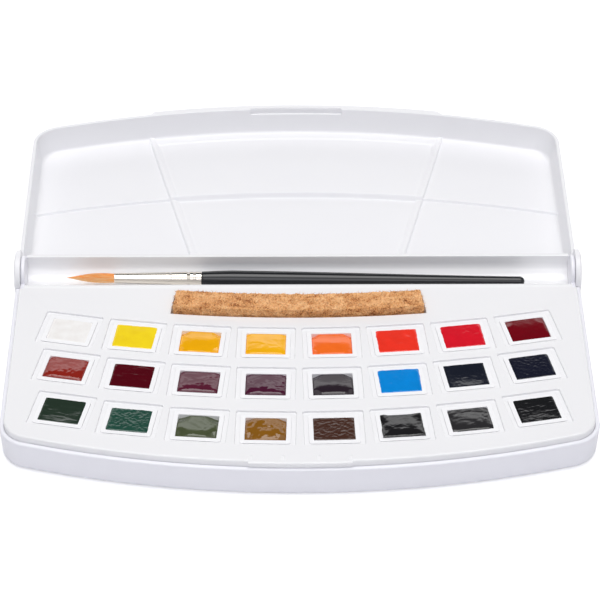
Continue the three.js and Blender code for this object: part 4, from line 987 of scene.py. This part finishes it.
# %% Skins of the paints
LEVEL_SKIN = {"Dome": 0.12, "Corner fall": 0.1, "Tilt": 0.1, "Wrinkle height": 0.05, "Streaks": 1.5,
              "Ragged": 0.35}
DOMED_SKIN = {"Dome": 0.9, "Squareness": 4.0, "Crown place": -0.5, "Corner fall": 0.5, "Corner reach": 2.5,
              "Tilt": -0.25, "Wrinkle height": 0.08, "Wrinkle size": 5.0}
FALLEN_SKIN = {"Dome": 0.5, "Squareness": 3.0, "Corner fall": 1.7, "Corner reach": 4.0, "Tilt": -0.1,
               "Wrinkle height": 0.05, "Wrinkle size": 6.0}
SUNKEN_SKIN = {"Dome": -0.4, "Corner fall": 0.0, "Wrinkle height": 0.05, "Wrinkle size": 2.2, "Ragged": 0.25}
CREPED_SKIN = {"Dome": 0.05, "Corner fall": 0.1, "Wrinkle height": 0.1, "Wrinkle size": 1.3, "Ragged": 0.2}

# Each paint: its colour, the level of its edge above the pan's foot in mm, its roughness, its skin and what
# differs from that skin.
PAINTS = [
    (0xFAF5F0, 9.35, 0.20, LEVEL_SKIN, {"Ragged": 0.0}),
    (0xFFD81F, 9.75, 0.14, LEVEL_SKIN, {"Wrinkle size": 4.0}),
    (0xF4AE05, 9.40, 0.10, FALLEN_SKIN, {}),
    (0xFFB410, 9.35, 0.10, DOMED_SKIN, {"Dome": 0.5, "Tilt": -0.12}),
    (0xFF6F22, 9.40, 0.10, FALLEN_SKIN, {"Corner reach": 3.5, "Tilt": -0.3}),
    (0xF03524, 9.75, 0.12, LEVEL_SKIN, {}),
    (0xD81528, 9.75, 0.12, LEVEL_SKIN, {}),
    (0x700011, 9.30, 0.12, FALLEN_SKIN, {"Dome": 0.2, "Corner fall": 0.4, "Tilt": 0.1}),
    (0x8C2218, 9.35, 0.07, DOMED_SKIN, {"Wrinkle height": 0.15, "Tilt": -0.15}),
    (0x520010, 9.60, 0.10, LEVEL_SKIN, {"Wrinkle size": 1.7, "Streaks": 3.5, "Ragged": 0.2}),
    (0x581B30, 9.35, 0.06, DOMED_SKIN, {"Wrinkle height": 0.24, "Wrinkle size": 7.0, "Tilt": -0.3}),
    (0x4A1630, 9.35, 0.07, DOMED_SKIN, {"Wrinkle height": 0.28, "Wrinkle size": 6.0}),
    (0x2A2029, 9.40, 0.05, FALLEN_SKIN, {"Dome": 0.9, "Crown place": -0.3, "Tilt": -0.3}),
    (0x0086D8, 9.75, 0.14, LEVEL_SKIN, {}),
    (0x171B28, 9.65, 0.12, SUNKEN_SKIN, {}),
    (0x121527, 9.65, 0.14, CREPED_SKIN, {"Wrinkle height": 0.05}),
    (0x253429, 9.70, 0.12, SUNKEN_SKIN, {"Streaks": 3.0, "Wrinkle height": 0.09}),
    (0x1F493C, 9.65, 0.14, CREPED_SKIN, {"Wrinkle height": 0.14, "Tilt": -0.2}),
    (0x4A5238, 9.40, 0.06, FALLEN_SKIN, {"Dome": 0.6, "Crown place": -0.5, "Corner reach": 5.5, "Tilt": -0.35,
                                         "Wrinkle height": 0.12}),
    (0x885A18, 9.40, 0.06, FALLEN_SKIN, {"Dome": 0.8, "Corner fall": 1.4, "Wrinkle height": 0.65}),
    (0x45291F, 9.55, 0.14, CREPED_SKIN, {"Streaks": 1.6, "Tilt": -0.2}),
    (0x1C1B1D, 9.60, 0.06, DOMED_SKIN, {"Dome": 0.5, "Crown place": -0.2, "Corner fall": -0.35,
                                         "Corner reach": 6.0, "Tilt": -0.3, "Ragged": 0.35}),
    (0x2C2B2D, 9.55, 0.08, DOMED_SKIN, {"Dome": 0.4, "Wrinkle height": 0.16, "Wrinkle size": 7.5}),
    (0x17181A, 9.65, 0.14, CREPED_SKIN, {"Dome": -0.35, "Streaks": 2.5}),
]
print("paints:", len(PAINTS))


# %% Paint film
PIGMENT_SIZE = 5
SKIN_GRAIN_SIZE, SKIN_GRAIN_HEIGHT = 0.9, 0.03


def dried_watercolour(name, colour, roughness):
    """Gum-bound paint: clear and deep, glossy, a little mottled where the pigment settled."""
    material, tree, shader, place = new_material(name)
    settled = add(tree, NOISE, {"Vector": place, "Scale": MM_PER_METRE / PIGMENT_SIZE, "Detail": 4.0})
    deep = [v * 0.84 for v in linear(colour)[:3]] + [1.0]
    light = [min(1.0, v * 1.14) for v in linear(colour)]
    mottled = add(tree, MIX, {0: settled, 6: deep, 7: light}, data_type="RGBA")
    grain = add(tree, NOISE, {"Vector": place, "Scale": MM_PER_METRE / SKIN_GRAIN_SIZE, "Detail": 3.0})
    bump = add(tree, "ShaderNodeBump", {"Height": grain, "Distance": SKIN_GRAIN_HEIGHT / MM_PER_METRE,
                                        "Strength": 0.5})
    fill(tree, shader, {"Base Color": mottled.outputs[2], "Roughness": roughness, "Normal": bump,
                        "IOR": 1.48})
    return material


print("paint film: its pigment settles in patches", PIGMENT_SIZE, "mm across")

# %% The cake's tree
cake_sizes = {"Length": 16.0, "Width": 13.2, "Depth": 7.0, "Dome": 0.1, "Squareness": 2.0, "Crown place": 0.0,
              "Corner fall": 0.1, "Corner reach": 2.0, "Shoulder": 0.3, "Tilt": 0.0, "Wrinkle height": 0.05,
              "Wrinkle size": 3.0, "Streaks": 1.0, "Ragged": 0.0, "Seed": 0.0}
cake_tree, given = new_tree("paint_cake", cake_sizes)
tree = cake_tree

# The block, and each point's place in it from -1 to 1.
size = add(tree, "ShaderNodeCombineXYZ", {"X": given["Length"], "Y": given["Width"], "Z": given["Depth"]})
block = add(tree, "GeometryNodeMeshCube", {"Size": size, "Vertices X": 65, "Vertices Y": 55, "Vertices Z": 2})
position = add(tree, "GeometryNodeInputPosition")
half = add(tree, VECTOR_MATH, {0: size, "Scale": 0.5}, operation="SCALE")
share = add(tree, VECTOR_MATH, {0: position, 1: half}, operation="DIVIDE")
u, v, w = add(tree, "ShaderNodeSeparateXYZ", {0: share}).outputs

# The dome, whose crown can lie nearer to the front than to the back.
away = add(tree, MATH, {0: v, 1: given["Crown place"]}, operation="SUBTRACT")
bend = add(tree, MATH, {0: v, 1: given["Crown place"]}, operation="MULTIPLY")
bend = add(tree, MATH, {0: 1.0, 1: bend}, operation="SUBTRACT")
from_crown = add(tree, MATH, {0: away, 1: bend}, operation="DIVIDE")
from_crown = add(tree, MATH, {0: from_crown, 1: from_crown}, operation="MULTIPLY")
lengthwise = add(tree, MATH, {0: 1.0, 1: from_crown}, operation="SUBTRACT")
sideways = add(tree, MATH, {0: u}, operation="ABSOLUTE")
sideways = add(tree, MATH, {0: sideways, 1: given["Squareness"]}, operation="POWER")
sideways = add(tree, MATH, {0: 1.0, 1: sideways}, operation="SUBTRACT")
crown = add(tree, MATH, {0: lengthwise, 1: sideways}, operation="MULTIPLY")
tilted = add(tree, MATH, {0: given["Tilt"], 1: v}, operation="MULTIPLY")
domed = add(tree, MATH, {0: given["Dome"], 1: crown, 2: tilted}, operation="MULTIPLY_ADD")

# The fall round each corner, and the rounding along the front and the sides.
inward = add(tree, VECTOR_MATH, {0: share}, operation="ABSOLUTE")
inward = add(tree, VECTOR_MATH, {0: inward, 1: (1.0, 1.0, 1.0)}, operation="SUBTRACT")
inward = add(tree, VECTOR_MATH, {0: inward, 1: half}, operation="MULTIPLY")
inward = add(tree, VECTOR_MATH, {0: inward, 1: (1.0, 1.0, 0.0)}, operation="MULTIPLY")
from_corner = add(tree, VECTOR_MATH, {0: inward}, operation="LENGTH").outputs["Value"]
corner = add(tree, "ShaderNodeMapRange", {"Value": from_corner, "From Max": given["Corner reach"],
                                          "To Min": 1.0, "To Max": 0.0}, interpolation_type="SMOOTHSTEP")
at_side = add(tree, MATH, {0: u, 1: 28.0}, operation="POWER")
at_front = add(tree, MATH, {0: v, 1: -1.0}, operation="MULTIPLY")
at_front = add(tree, MATH, {0: at_front, 1: 0.0}, operation="MAXIMUM")
at_front = add(tree, MATH, {0: at_front, 1: 24.0}, operation="POWER")
shoulder = add(tree, MATH, {0: at_side, 1: at_front}, operation="ADD")
fallen = add(tree, MATH, {0: given["Shoulder"], 1: shoulder}, operation="MULTIPLY")
fallen = add(tree, MATH, {0: given["Corner fall"], 1: corner, 2: fallen}, operation="MULTIPLY_ADD")

# Wrinkles, weaker near the pan's walls.
streak = add(tree, "ShaderNodeCombineXYZ", {"X": given["Streaks"], "Y": 1.0, "Z": 1.0})
stretched = add(tree, VECTOR_MATH, {0: position, 1: streak}, operation="DIVIDE")
stretched = add(tree, VECTOR_MATH, {0: stretched, 1: (1.0, 1.0, 0.0)}, operation="MULTIPLY")
scale = add(tree, MATH, {0: 1.0, 1: given["Wrinkle size"]}, operation="DIVIDE")
noise = add(tree, NOISE, {"Vector": stretched, "W": given["Seed"], "Detail": 2.5, "Distortion": 0.6,
                          "Scale": scale}, noise_dimensions="4D")
wrinkle = add(tree, MATH, {0: noise, 1: 4.0, 2: -2.0}, operation="MULTIPLY_ADD")
wrinkle = add(tree, MATH, {0: wrinkle, 1: given["Wrinkle height"]}, operation="MULTIPLY")
fade = add(tree, MATH, {0: crown, 1: 0.0}, operation="MAXIMUM")
fade = add(tree, MATH, {0: fade, 1: 0.35}, operation="POWER")
fade = add(tree, MATH, {0: fade, 1: 0.75, 2: 0.25}, operation="MULTIPLY_ADD")
height = add(tree, MATH, {0: domed, 1: fallen}, operation="SUBTRACT")
height = add(tree, MATH, {0: wrinkle, 1: fade, 2: height}, operation="MULTIPLY_ADD")
on_top = add(tree, MATH, {0: w, 1: 0.0}, operation="GREATER_THAN")
height = add(tree, MATH, {0: height, 1: on_top}, operation="MULTIPLY")
rise = add(tree, "ShaderNodeCombineXYZ", {"Z": height})

# A ragged outline.
tear = add(tree, NOISE, {"Vector": position, "W": given["Seed"], "Scale": 0.55, "Detail": 3.0},
           noise_dimensions="4D").outputs["Color"]
tear = add(tree, VECTOR_MATH, {0: tear, 1: (0.5, 0.5, 0.5)}, operation="SUBTRACT")
tear = add(tree, VECTOR_MATH, {0: tear, 1: (2.0, 2.0, 0.0)}, operation="MULTIPLY")
tear = add(tree, VECTOR_MATH, {0: tear, "Scale": given["Ragged"]}, operation="SCALE")
shift = add(tree, VECTOR_MATH, {0: rise, 1: tear}, operation="ADD")
shaped = add(tree, "GeometryNodeSetPosition", {"Geometry": block, "Offset": shift})
small = add(tree, "GeometryNodeTransform", {"Geometry": shaped, "Scale": (0.001, 0.001, 0.001)})
finish_tree(tree, small, given)

# %% Filling the pans
PAINT_FOOT = 1.25
FULL_LEVEL = 9.5
FULL_LENGTH, LOW_LENGTH, LESS_WIDTH = 16.35, 15.95, 2.8
# The trees of the paints and of the tuft make their own geometry, so their objects start from any small
# block.
small_block = upright(rounded_rectangle(1, 1, 0.2), 0, 1)
for number, (colour, level, roughness, skin, changes) in enumerate(PAINTS):
    cake = raw_object(f"paint_cake_{number + 1:02d}", small_block)
    # Pigment in dried gum arabic: a deep, clear colour under a glossy skin that mirrors the studio.
    film = dried_watercolour(f"dried_watercolour_{number + 1:02d}", colour, roughness)
    depth = level - PAINT_FOOT
    length = FULL_LENGTH if level > FULL_LEVEL else LOW_LENGTH
    block_size = {"Length": length, "Width": length - LESS_WIDTH, "Depth": depth}
    through_tree(cake, cake_tree, {**skin, **changes, **block_size, "Seed": number * 7.3, "Material": film})
    through_tree(cake, row_tree, row_values(number, PAN_BOTTOM + PAINT_FOOT + depth / 2, film))
    finish_piece(cake, None, f"pan_{number + 1:02d}", [f"paint_{number + 1:02d}"],
                 angle=50, flat_faces=False)

# %% [markdown]
# ## The brush
#
# The handle is turned beech under many coats of black lacquer, and the ferrule a seamless tube of
# nickel-plated brass, crimped on to the handle in three rings. Both are bodies of revolution. The brush lies
# on its belly and its tail, so it is made level and then tipped by that small angle.

# %% Brush materials
WOOD_GRAIN_SIZE, WOOD_GRAIN_HEIGHT = 0.8, 0.01
DRAWN_LINE_SIZE = 0.25

# Beech under black lacquer: the dark coat hides the wood but for a trace of its long grain, 0.8 mm across,
# and its clear top mirrors the lamps in a thin line.
lacquer, tree, shader, place = new_material("black_lacquered_beech")
long_way = add(tree, "ShaderNodeMapping", {"Vector": place, "Scale": (0.08, 1.0, 1.0)})
grain = add(tree, NOISE, {"Vector": long_way, "Scale": MM_PER_METRE / WOOD_GRAIN_SIZE, "Detail": 3.0})
depth = add(tree, MIX, {0: grain, 6: linear(0x05070C), 7: linear(0x0D0F17)}, data_type="RGBA")
bump = add(tree, "ShaderNodeBump", {"Height": grain, "Distance": WOOD_GRAIN_HEIGHT / MM_PER_METRE,
                                    "Strength": 0.4})
fill(tree, shader, {"Base Color": depth.outputs[2], "Normal": bump, "Roughness": 0.35,
                    "Specular IOR Level": 0.2, "Coat Weight": 0.7, "Coat Roughness": 0.05})

# Nickel-plated brass, drawn into a tube: a warm silvery mirror, blurred a little by fine lines that run along
# it. The lines are drawn coarser than the real ones, which are under 0.1 mm apart.
nickel, tree, shader, place = new_material("nickel_plated_brass")
drawn = add(tree, "ShaderNodeMapping", {"Vector": place, "Scale": (0.03, 1.0, 1.0)})
drawn_lines = add(tree, NOISE, {"Vector": drawn, "Scale": MM_PER_METRE / DRAWN_LINE_SIZE, "Detail": 2.0})
worn = add(tree, "ShaderNodeMapRange", {"Value": drawn_lines, "To Min": 0.05, "To Max": 0.14})
tint = add(tree, MIX, {0: drawn_lines, 6: linear(0xEAE5DD), 7: linear(0xE2DACF)}, data_type="RGBA")
fill(tree, shader, {"Base Color": tint.outputs[2], "Roughness": worn, "Metallic": 1.0})
print("brush materials:", lacquer.name, nickel.name)

# %% The brush's sizes
BELLY_X, BELLY_RADIUS = -25.0, 3.55
TAIL_X, TAIL_RADIUS = 94.0, 2.0
FERRULE_BACK, FERRULE_MOUTH = -40.0, -76.0
TENON_X, TENON_RADIUS = -45.0, 2.2
NECK_X, NECK_RADIUS = FERRULE_BACK + 0.4, 3.02
AT_AXIS = 0.02
BRUSH_HEIGHT = TROUGH_RIM - TROUGH_DEPTH + FIT_GAP + BELLY_RADIUS
TIP_BY = math.asin((BELLY_RADIUS - TAIL_RADIUS) / (TAIL_X - BELLY_X))
# The crimps: their places along the ferrule and how deep they are pressed.
CRIMPS = ((-52.78, 0.1), (-45.328, 0.32), (-42.844, 0.18))


def lying(points):
    """Points of the level brush, tipped about its belly and laid in the trough."""
    points = np.asarray(points, float) - [BELLY_X, 0, 0]
    c, s = math.cos(TIP_BY), math.sin(TIP_BY)
    x = points[:, 0] * c + points[:, 2] * s + BELLY_X
    z = -points[:, 0] * s + points[:, 2] * c + BRUSH_HEIGHT
    return np.stack([x, points[:, 1], z], 1)


def brush_part(profile, sides=64):
    points, faces = turned_about_x(profile, sides, axis_height=0)
    return lying(points), faces


print("brush:", TAIL_X - FERRULE_MOUTH, "mm from tail to ferrule's mouth, tipped by",
      round(math.degrees(TIP_BY), 2), "degrees")

# %% Handle
handle_profile = [(TENON_X, AT_AXIS), (TENON_X, TENON_RADIUS), (FERRULE_BACK + 0.1, TENON_RADIUS),
                  (FERRULE_BACK + 0.1, 2.85), (NECK_X, NECK_RADIUS)]
for t in np.linspace(0.08, 1, 12):
    radius = NECK_RADIUS + (BELLY_RADIUS - NECK_RADIUS) * math.sin(t * math.pi / 2)
    handle_profile.append((NECK_X + (BELLY_X - NECK_X) * t, radius))
for t in np.linspace(0.03, 1, 34):
    fall = ((1 - math.cos(t * math.pi)) / 2 + t) / 2
    handle_profile.append((BELLY_X + (TAIL_X - TAIL_RADIUS - BELLY_X) * t,
                           BELLY_RADIUS + (TAIL_RADIUS - BELLY_RADIUS) * fall))
handle_profile += [*arc(TAIL_X - TAIL_RADIUS, 0, TAIL_RADIUS, TAIL_RADIUS, 80, 4, 10), (TAIL_X, AT_AXIS)]
handle = raw_object("brush_handle_turned", brush_part(handle_profile))
finish_piece(handle, lacquer, "brush", ["brush_handle"], flat_faces=False)

# %% Ferrule
near_crimps = [middle + step for middle, deep in CRIMPS for step in np.linspace(-0.9, 0.9, 13)]
outside = []
for x in sorted({*np.linspace(FERRULE_MOUTH + 0.25, FERRULE_BACK - 0.15, 40), *near_crimps}):
    radius = 2 + (x - FERRULE_MOUTH) / (FERRULE_BACK - FERRULE_MOUTH)
    dent = sum(deep * math.exp(-((x - middle) / 0.38) ** 2) for middle, deep in CRIMPS)
    swell = sum(deep / 4 * math.exp(-((abs(x - middle) - 1.0) / 0.35) ** 2) for middle, deep in CRIMPS)
    outside.append((x, radius - dent + swell))
mouth = [(4.3, AT_AXIS), (4.3, 1.7), (0.1, 1.72), (0, 1.8), (0, 1.95), (0.1, 2.03)]
back_end = [(0, 2.95), (0, 2.6), (-5.3, 2.5), (-5.3, AT_AXIS)]
ferrule_profile = [(FERRULE_MOUTH + x, radius) for x, radius in mouth] + outside
ferrule_profile += [(FERRULE_BACK + x, radius) for x, radius in back_end]
ferrule = raw_object("brush_ferrule_tube", brush_part(ferrule_profile))
finish_piece(ferrule, nickel, "brush", ["brush_ferrule"], flat_faces=False)

# %% [markdown]
# ## The tuft
#
# A round watercolour brush holds about a thousand filaments that spread to a belly and close to a fine point.
# That is a rule, so Geometry Nodes lay the hairs out: points in a sunflower pattern at the root, a line on
# each, and one profile that spreads and gathers all of them together, so that they never cross.

# %% Filament
FILAMENT_SIZE = 0.3

# Golden synthetic filament: each hair is clear at its edge and honey-coloured inside, so the tuft has bright
# and deep strands side by side. They are 0.3 mm wide, coarser than one hair, because hairs lie in small
# bundles.
filament, tree, shader, place = new_material("golden_synthetic_filament")
long_way = add(tree, "ShaderNodeMapping", {"Vector": place, "Scale": (0.05, 1.0, 1.0)})
strands = add(tree, NOISE, {"Vector": long_way, "Scale": MM_PER_METRE / FILAMENT_SIZE, "Detail": 2.0})
ramp = add(tree, "ShaderNodeValToRGB", {"Fac": strands})
ramp.color_ramp.elements[0].position, ramp.color_ramp.elements[0].color = 0.3, linear(0xFFB158)
ramp.color_ramp.elements[1].position, ramp.color_ramp.elements[1].color = 0.7, linear(0xFFDEAC)
fill(tree, shader, {"Base Color": ramp, "Roughness": 0.38})
print("filament:", filament.name)

# %% Hairs
tuft_sizes = {"Belly radius": 2.0, "Length": 23.0, "Hair radius": 0.075, "Root place": 3.5, "Hairs": 900}
tuft_tree, given = new_tree("tuft_of_filaments", tuft_sizes)
tree = tuft_tree

# Points in a sunflower pattern on a disc of radius 1, with a line of length 1 on each.
GOLDEN_ANGLE = math.pi * (3 - math.sqrt(5))
points = add(tree, "GeometryNodePoints", {"Count": given["Hairs"]})
index = add(tree, "GeometryNodeInputIndex")
filled = add(tree, MATH, {0: index, 1: 0.5}, operation="ADD")
filled = add(tree, MATH, {0: filled, 1: given["Hairs"]}, operation="DIVIDE")
from_middle = add(tree, MATH, {0: filled}, operation="SQRT")
angle = add(tree, MATH, {0: index, 1: GOLDEN_ANGLE}, operation="MULTIPLY")
cosine = add(tree, MATH, {0: angle}, operation="COSINE")
sine = add(tree, MATH, {0: angle}, operation="SINE")
ray = add(tree, "ShaderNodeCombineXYZ", {"Y": cosine, "Z": sine})
root = add(tree, VECTOR_MATH, {0: ray, "Scale": from_middle}, operation="SCALE")
points = add(tree, "GeometryNodeSetPosition", {"Geometry": points, "Position": root})
uneven = add(tree, "FunctionNodeRandomValue", {2: 0.93, 3: 1.0, "Seed": 11}, data_type="FLOAT").outputs[1]
scaled = add(tree, "ShaderNodeCombineXYZ", {"X": uneven, "Y": 1.0, "Z": 1.0})
line = add(tree, "GeometryNodeCurvePrimitiveLine", {"Start": (0, 0, 0), "End": (-1, 0, 0)})
line = add(tree, "GeometryNodeResampleCurve", {"Curve": line, "Count": 14})
hairs = add(tree, "GeometryNodeInstanceOnPoints", {"Points": points, "Instance": line, "Scale": scaled})
hairs = add(tree, "GeometryNodeRealizeInstances", {"Geometry": hairs})

# The tuft's profile spreads all hairs together, and each gets thinner towards its end.
position = add(tree, "GeometryNodeInputPosition")
inward = add(tree, "ShaderNodeSeparateXYZ", {0: position}).outputs["X"]
along = add(tree, MATH, {0: inward, 1: -1.0}, operation="MULTIPLY")
spread = add(tree, "ShaderNodeFloatCurve", {"Value": along})
profile = spread.mapping.curves[0]
profile.points[0].location = (0.0, 0.86)
profile.points[1].location = (1.0, 0.03)
for along_tuft, width in ((0.17, 0.92), (0.36, 1.0), (0.52, 0.95), (0.70, 0.68), (0.86, 0.32)):
    profile.points.new(along_tuft, width)
spread.mapping.update()
wide = add(tree, MATH, {0: spread, 1: given["Belly radius"]}, operation="MULTIPLY")
widths = add(tree, "ShaderNodeCombineXYZ", {"X": given["Length"], "Y": wide, "Z": wide})
spread_out = add(tree, VECTOR_MATH, {0: position, 1: widths}, operation="MULTIPLY")
start_at = add(tree, "ShaderNodeCombineXYZ", {"X": given["Root place"]})
where = add(tree, VECTOR_MATH, {0: spread_out, 1: start_at}, operation="ADD")
shaped = add(tree, "GeometryNodeSetPosition", {"Geometry": hairs, "Position": where})
from_root = add(tree, "GeometryNodeSplineParameter").outputs["Factor"]
thinner = add(tree, MATH, {0: from_root, 1: 3.0}, operation="POWER")
thinner = add(tree, MATH, {0: thinner, 1: -0.8, 2: 1.0}, operation="MULTIPLY_ADD")
thin = add(tree, MATH, {0: given["Hair radius"], 1: thinner}, operation="MULTIPLY")
ring = add(tree, "GeometryNodeCurvePrimitiveCircle", {"Resolution": 3, "Radius": 1.0})
solid = add(tree, "GeometryNodeCurveToMesh", {"Curve": shaped, "Profile Curve": ring, "Fill Caps": True,
                                              "Scale": thin})
finish_tree(tree, solid, given)

# %% Laying the tuft in the ferrule
tuft = raw_object("brush_tuft_hairs", small_block)
through_tree(tuft, tuft_tree, {"Belly radius": 2.0, "Length": 23.3, "Hair radius": 0.075, "Root place": 3.8,
                               "Hairs": 900, "Material": filament})
hair_points = np.empty(len(tuft.data.vertices) * 3)
tuft.data.vertices.foreach_get("co", hair_points)
hair_points = lying(hair_points.reshape(-1, 3) + [FERRULE_MOUTH, 0, 0])
tuft.data.vertices.foreach_set("co", metres(hair_points).ravel())
tuft.data.update()
finish_piece(tuft, None, "brush", ["brush_tuft"], angle=80, flat_faces=False)

# %% [markdown]
# ## The sponge
#
# The strip is cut from a natural-coloured sponge: open pores of about a millimetre, a torn upper edge and a
# colour between straw and orange brown, with painted shade in the pores. A fine skin is shaped by Geometry
# Nodes: cell noise digs the pores, and a broader noise makes the cut faces uneven. The material paints shade
# into cells of nearly the pores' size and roughens the fibres between them.

# %% Sponge material
TORN_PATCH_SIZE, FELT_SIZE, PAINTED_PORE_SHADE_SIZE = 2.6, 0.6, 0.9

# Dry natural sponge: a felt of fibres that scatters all light, orange brown and rusty in places. Shade is
# painted into the pores.
sponge_cells, tree, shader, place = new_material("natural_sponge")
torn_way = add(tree, "ShaderNodeMapping", {"Vector": place, "Scale": (0.5, 1.0, 1.0)})
broad = add(tree, NOISE, {"Vector": torn_way, "Scale": MM_PER_METRE / TORN_PATCH_SIZE, "Detail": 5.0})
felt = add(tree, NOISE, {"Vector": place, "Scale": MM_PER_METRE / FELT_SIZE, "Detail": 4.0})
pore_shade_cells = add(tree, "ShaderNodeTexVoronoi", {"Vector": place, "Scale": MM_PER_METRE / PAINTED_PORE_SHADE_SIZE})
both = add(tree, MATH, {0: broad, 1: felt}, operation="ADD")
average = add(tree, MATH, {0: both, 1: 0.5}, operation="MULTIPLY")
ramp = add(tree, "ShaderNodeValToRGB", {"Fac": average})
ramp.color_ramp.elements[0].position, ramp.color_ramp.elements[0].color = 0.37, linear(0x9A5220)
ramp.color_ramp.elements[1].position, ramp.color_ramp.elements[1].color = 0.62, linear(0xFFCB92)
ramp.color_ramp.elements.new(0.45).color = linear(0xE2A264)
# Painted shade: cells of pore size are darkened to stand in for the shade inside the pores.
deep = add(tree, "ShaderNodeMapRange", {"Value": pore_shade_cells, "From Min": 0.08, "From Max": 0.42, "To Min": 0.68,
                                       "To Max": 1.0})
shaded = add(tree, MIX, {0: 1.0, 6: ramp, 7: deep}, data_type="RGBA", blend_type="MULTIPLY")
bump = add(tree, "ShaderNodeBump", {"Height": felt, "Distance": 0.5 / MM_PER_METRE, "Strength": 0.8})
fill(tree, shader, {"Base Color": shaded.outputs[2], "Normal": bump, "Roughness": 0.95, "Sheen Weight": 0.15})
print("sponge material:", sponge_cells.name)

# %% Sponge shape
sponge_sizes = {"Pore size": 1.2, "Pore depth": 0.6, "Unevenness": 0.5, "Tear size": 3.0, "Crumb": 0.3,
                "Fibres to the cm2": 60.0, "Fibre length": 0.9}
sponge_tree, given = new_tree("torn_sponge", sponge_sizes, takes_geometry=True)
tree = sponge_tree

# The skin moves in and out: pores, a broad unevenness and fine crumbs.
position = add(tree, "GeometryNodeInputPosition")
pore_scale = add(tree, MATH, {0: 1000.0, 1: given["Pore size"]}, operation="DIVIDE")
cells = add(tree, "ShaderNodeTexVoronoi", {"Vector": position, "Scale": pore_scale}).outputs["Distance"]
dug = add(tree, MATH, {0: 0.42, 1: cells}, operation="SUBTRACT")
dug = add(tree, MATH, {0: dug, 1: 0.0}, operation="MAXIMUM")
dug = add(tree, MATH, {0: dug, 1: given["Pore depth"]}, operation="MULTIPLY")
tear_scale = add(tree, MATH, {0: 1000.0, 1: given["Tear size"]}, operation="DIVIDE")
torn = add(tree, NOISE, {"Vector": position, "Scale": tear_scale, "Detail": 4.0})
rough = add(tree, MATH, {0: torn, 1: 0.62}, operation="SUBTRACT")
rough = add(tree, MATH, {0: rough, 1: given["Unevenness"]}, operation="MULTIPLY")
crumbs = add(tree, NOISE, {"Vector": position, "Scale": MM_PER_METRE / 0.7, "Detail": 2.0})
crumbs = add(tree, MATH, {0: crumbs, 1: 0.6}, operation="SUBTRACT")
crumbs = add(tree, MATH, {0: crumbs, 1: given["Crumb"]}, operation="MULTIPLY")
relief = add(tree, MATH, {0: rough, 1: 2.0, 2: crumbs}, operation="MULTIPLY_ADD")
relief = add(tree, MATH, {0: dug, 1: -2.4, 2: relief}, operation="MULTIPLY_ADD")
relief = add(tree, MATH, {0: relief, 1: 0.001}, operation="MULTIPLY")
normal = add(tree, "GeometryNodeInputNormal")
shift = add(tree, VECTOR_MATH, {0: normal, "Scale": relief}, operation="SCALE")
shaped = add(tree, "GeometryNodeSetPosition", {"Geometry": given["Geometry"], "Offset": shift})

# Torn fibres stand out from it.
density = add(tree, MATH, {0: given["Fibres to the cm2"], 1: 10000.0}, operation="MULTIPLY")
spots = add(tree, "GeometryNodeDistributePointsOnFaces", {"Mesh": shaped, "Density": density,
                                                          "Seed": 5}).outputs
fibre_length = add(tree, MATH, {0: given["Fibre length"], 1: 0.001}, operation="MULTIPLY")
fibre = add(tree, "GeometryNodeMeshCone", {"Vertices": 3, "Radius Top": 0.00002, "Radius Bottom": 0.0001,
                                          "Depth": fibre_length})
lean = add(tree, "FunctionNodeRandomValue", {0: (-0.9, -0.9, 0.0), 1: (0.9, 0.9, 6.28), "Seed": 3},
           data_type="FLOAT_VECTOR")
leaning = add(tree, "FunctionNodeRotateRotation", {"Rotation": spots["Rotation"], "Rotate By": lean},
              rotation_space="LOCAL")
grown = add(tree, "FunctionNodeRandomValue", {2: 0.4, 3: 1.0, "Seed": 8}, data_type="FLOAT").outputs[1]
fibres = add(tree, "GeometryNodeInstanceOnPoints", {"Points": spots["Points"], "Instance": fibre,
                                                    "Rotation": leaning, "Scale": grown})
joined = add(tree, "GeometryNodeJoinGeometry", {"Geometry": fibres})
tree.links.new(shaped.outputs[0], joined.inputs[0])
finish_tree(tree, joined, given)

# %% The strip
SPONGE_EDGE = 0.8
SPONGE_MIDDLE = TRAY_TOP - SPONGE_SINK + FIT_GAP + SPONGE_HEIGHT / 2


def strip_rings(step=0.27):
    """Sections of the bowed strip from its left end to its right end, with rounded edges and fine steps."""
    half = np.array([SPONGE_WIDTH, SPONGE_HEIGHT]) / 2
    end = SPONGE_LENGTH / 2
    across = rounded_rectangle(SPONGE_WIDTH, SPONGE_HEIGHT, SPONGE_EDGE, 4)
    fine = []
    for a, b in zip(across, np.roll(across, -1, axis=0)):
        count = max(1, int(np.linalg.norm(b - a) / step))
        fine += [a + (b - a) * i / count for i in range(count)]
    rings = []
    for place in np.linspace(-end, end, int(SPONGE_LENGTH / step)):
        near_end = max(0.0, SPONGE_EDGE - (end - abs(place)))
        shrink = SPONGE_EDGE - math.sqrt(max(SPONGE_EDGE**2 - near_end**2, 0))
        section = np.array(fine) * ((half - shrink) / half)
        turn = place / SPONGE_RADIUS
        radius = SPONGE_RADIUS - section[:, 0]
        rings.append(np.stack([radius * np.sin(turn), SPONGE_RADIUS - SPONGE_REACH - radius * np.cos(turn),
                               SPONGE_MIDDLE + section[:, 1]], 1))
    return rings


sponge = raw_object("sponge_strip", loft(strip_rings()))
through_tree(sponge, sponge_tree, {"Pore size": 1.2, "Pore depth": 0.6, "Unevenness": 0.7, "Tear size": 2.4,
                                   "Crumb": 0.5, "Fibres to the cm2": 170.0, "Fibre length": 1.3,
                                   "Material": sponge_cells})
finish_piece(sponge, None, "sponge", ["sponge"], angle=180, flat_faces=False)
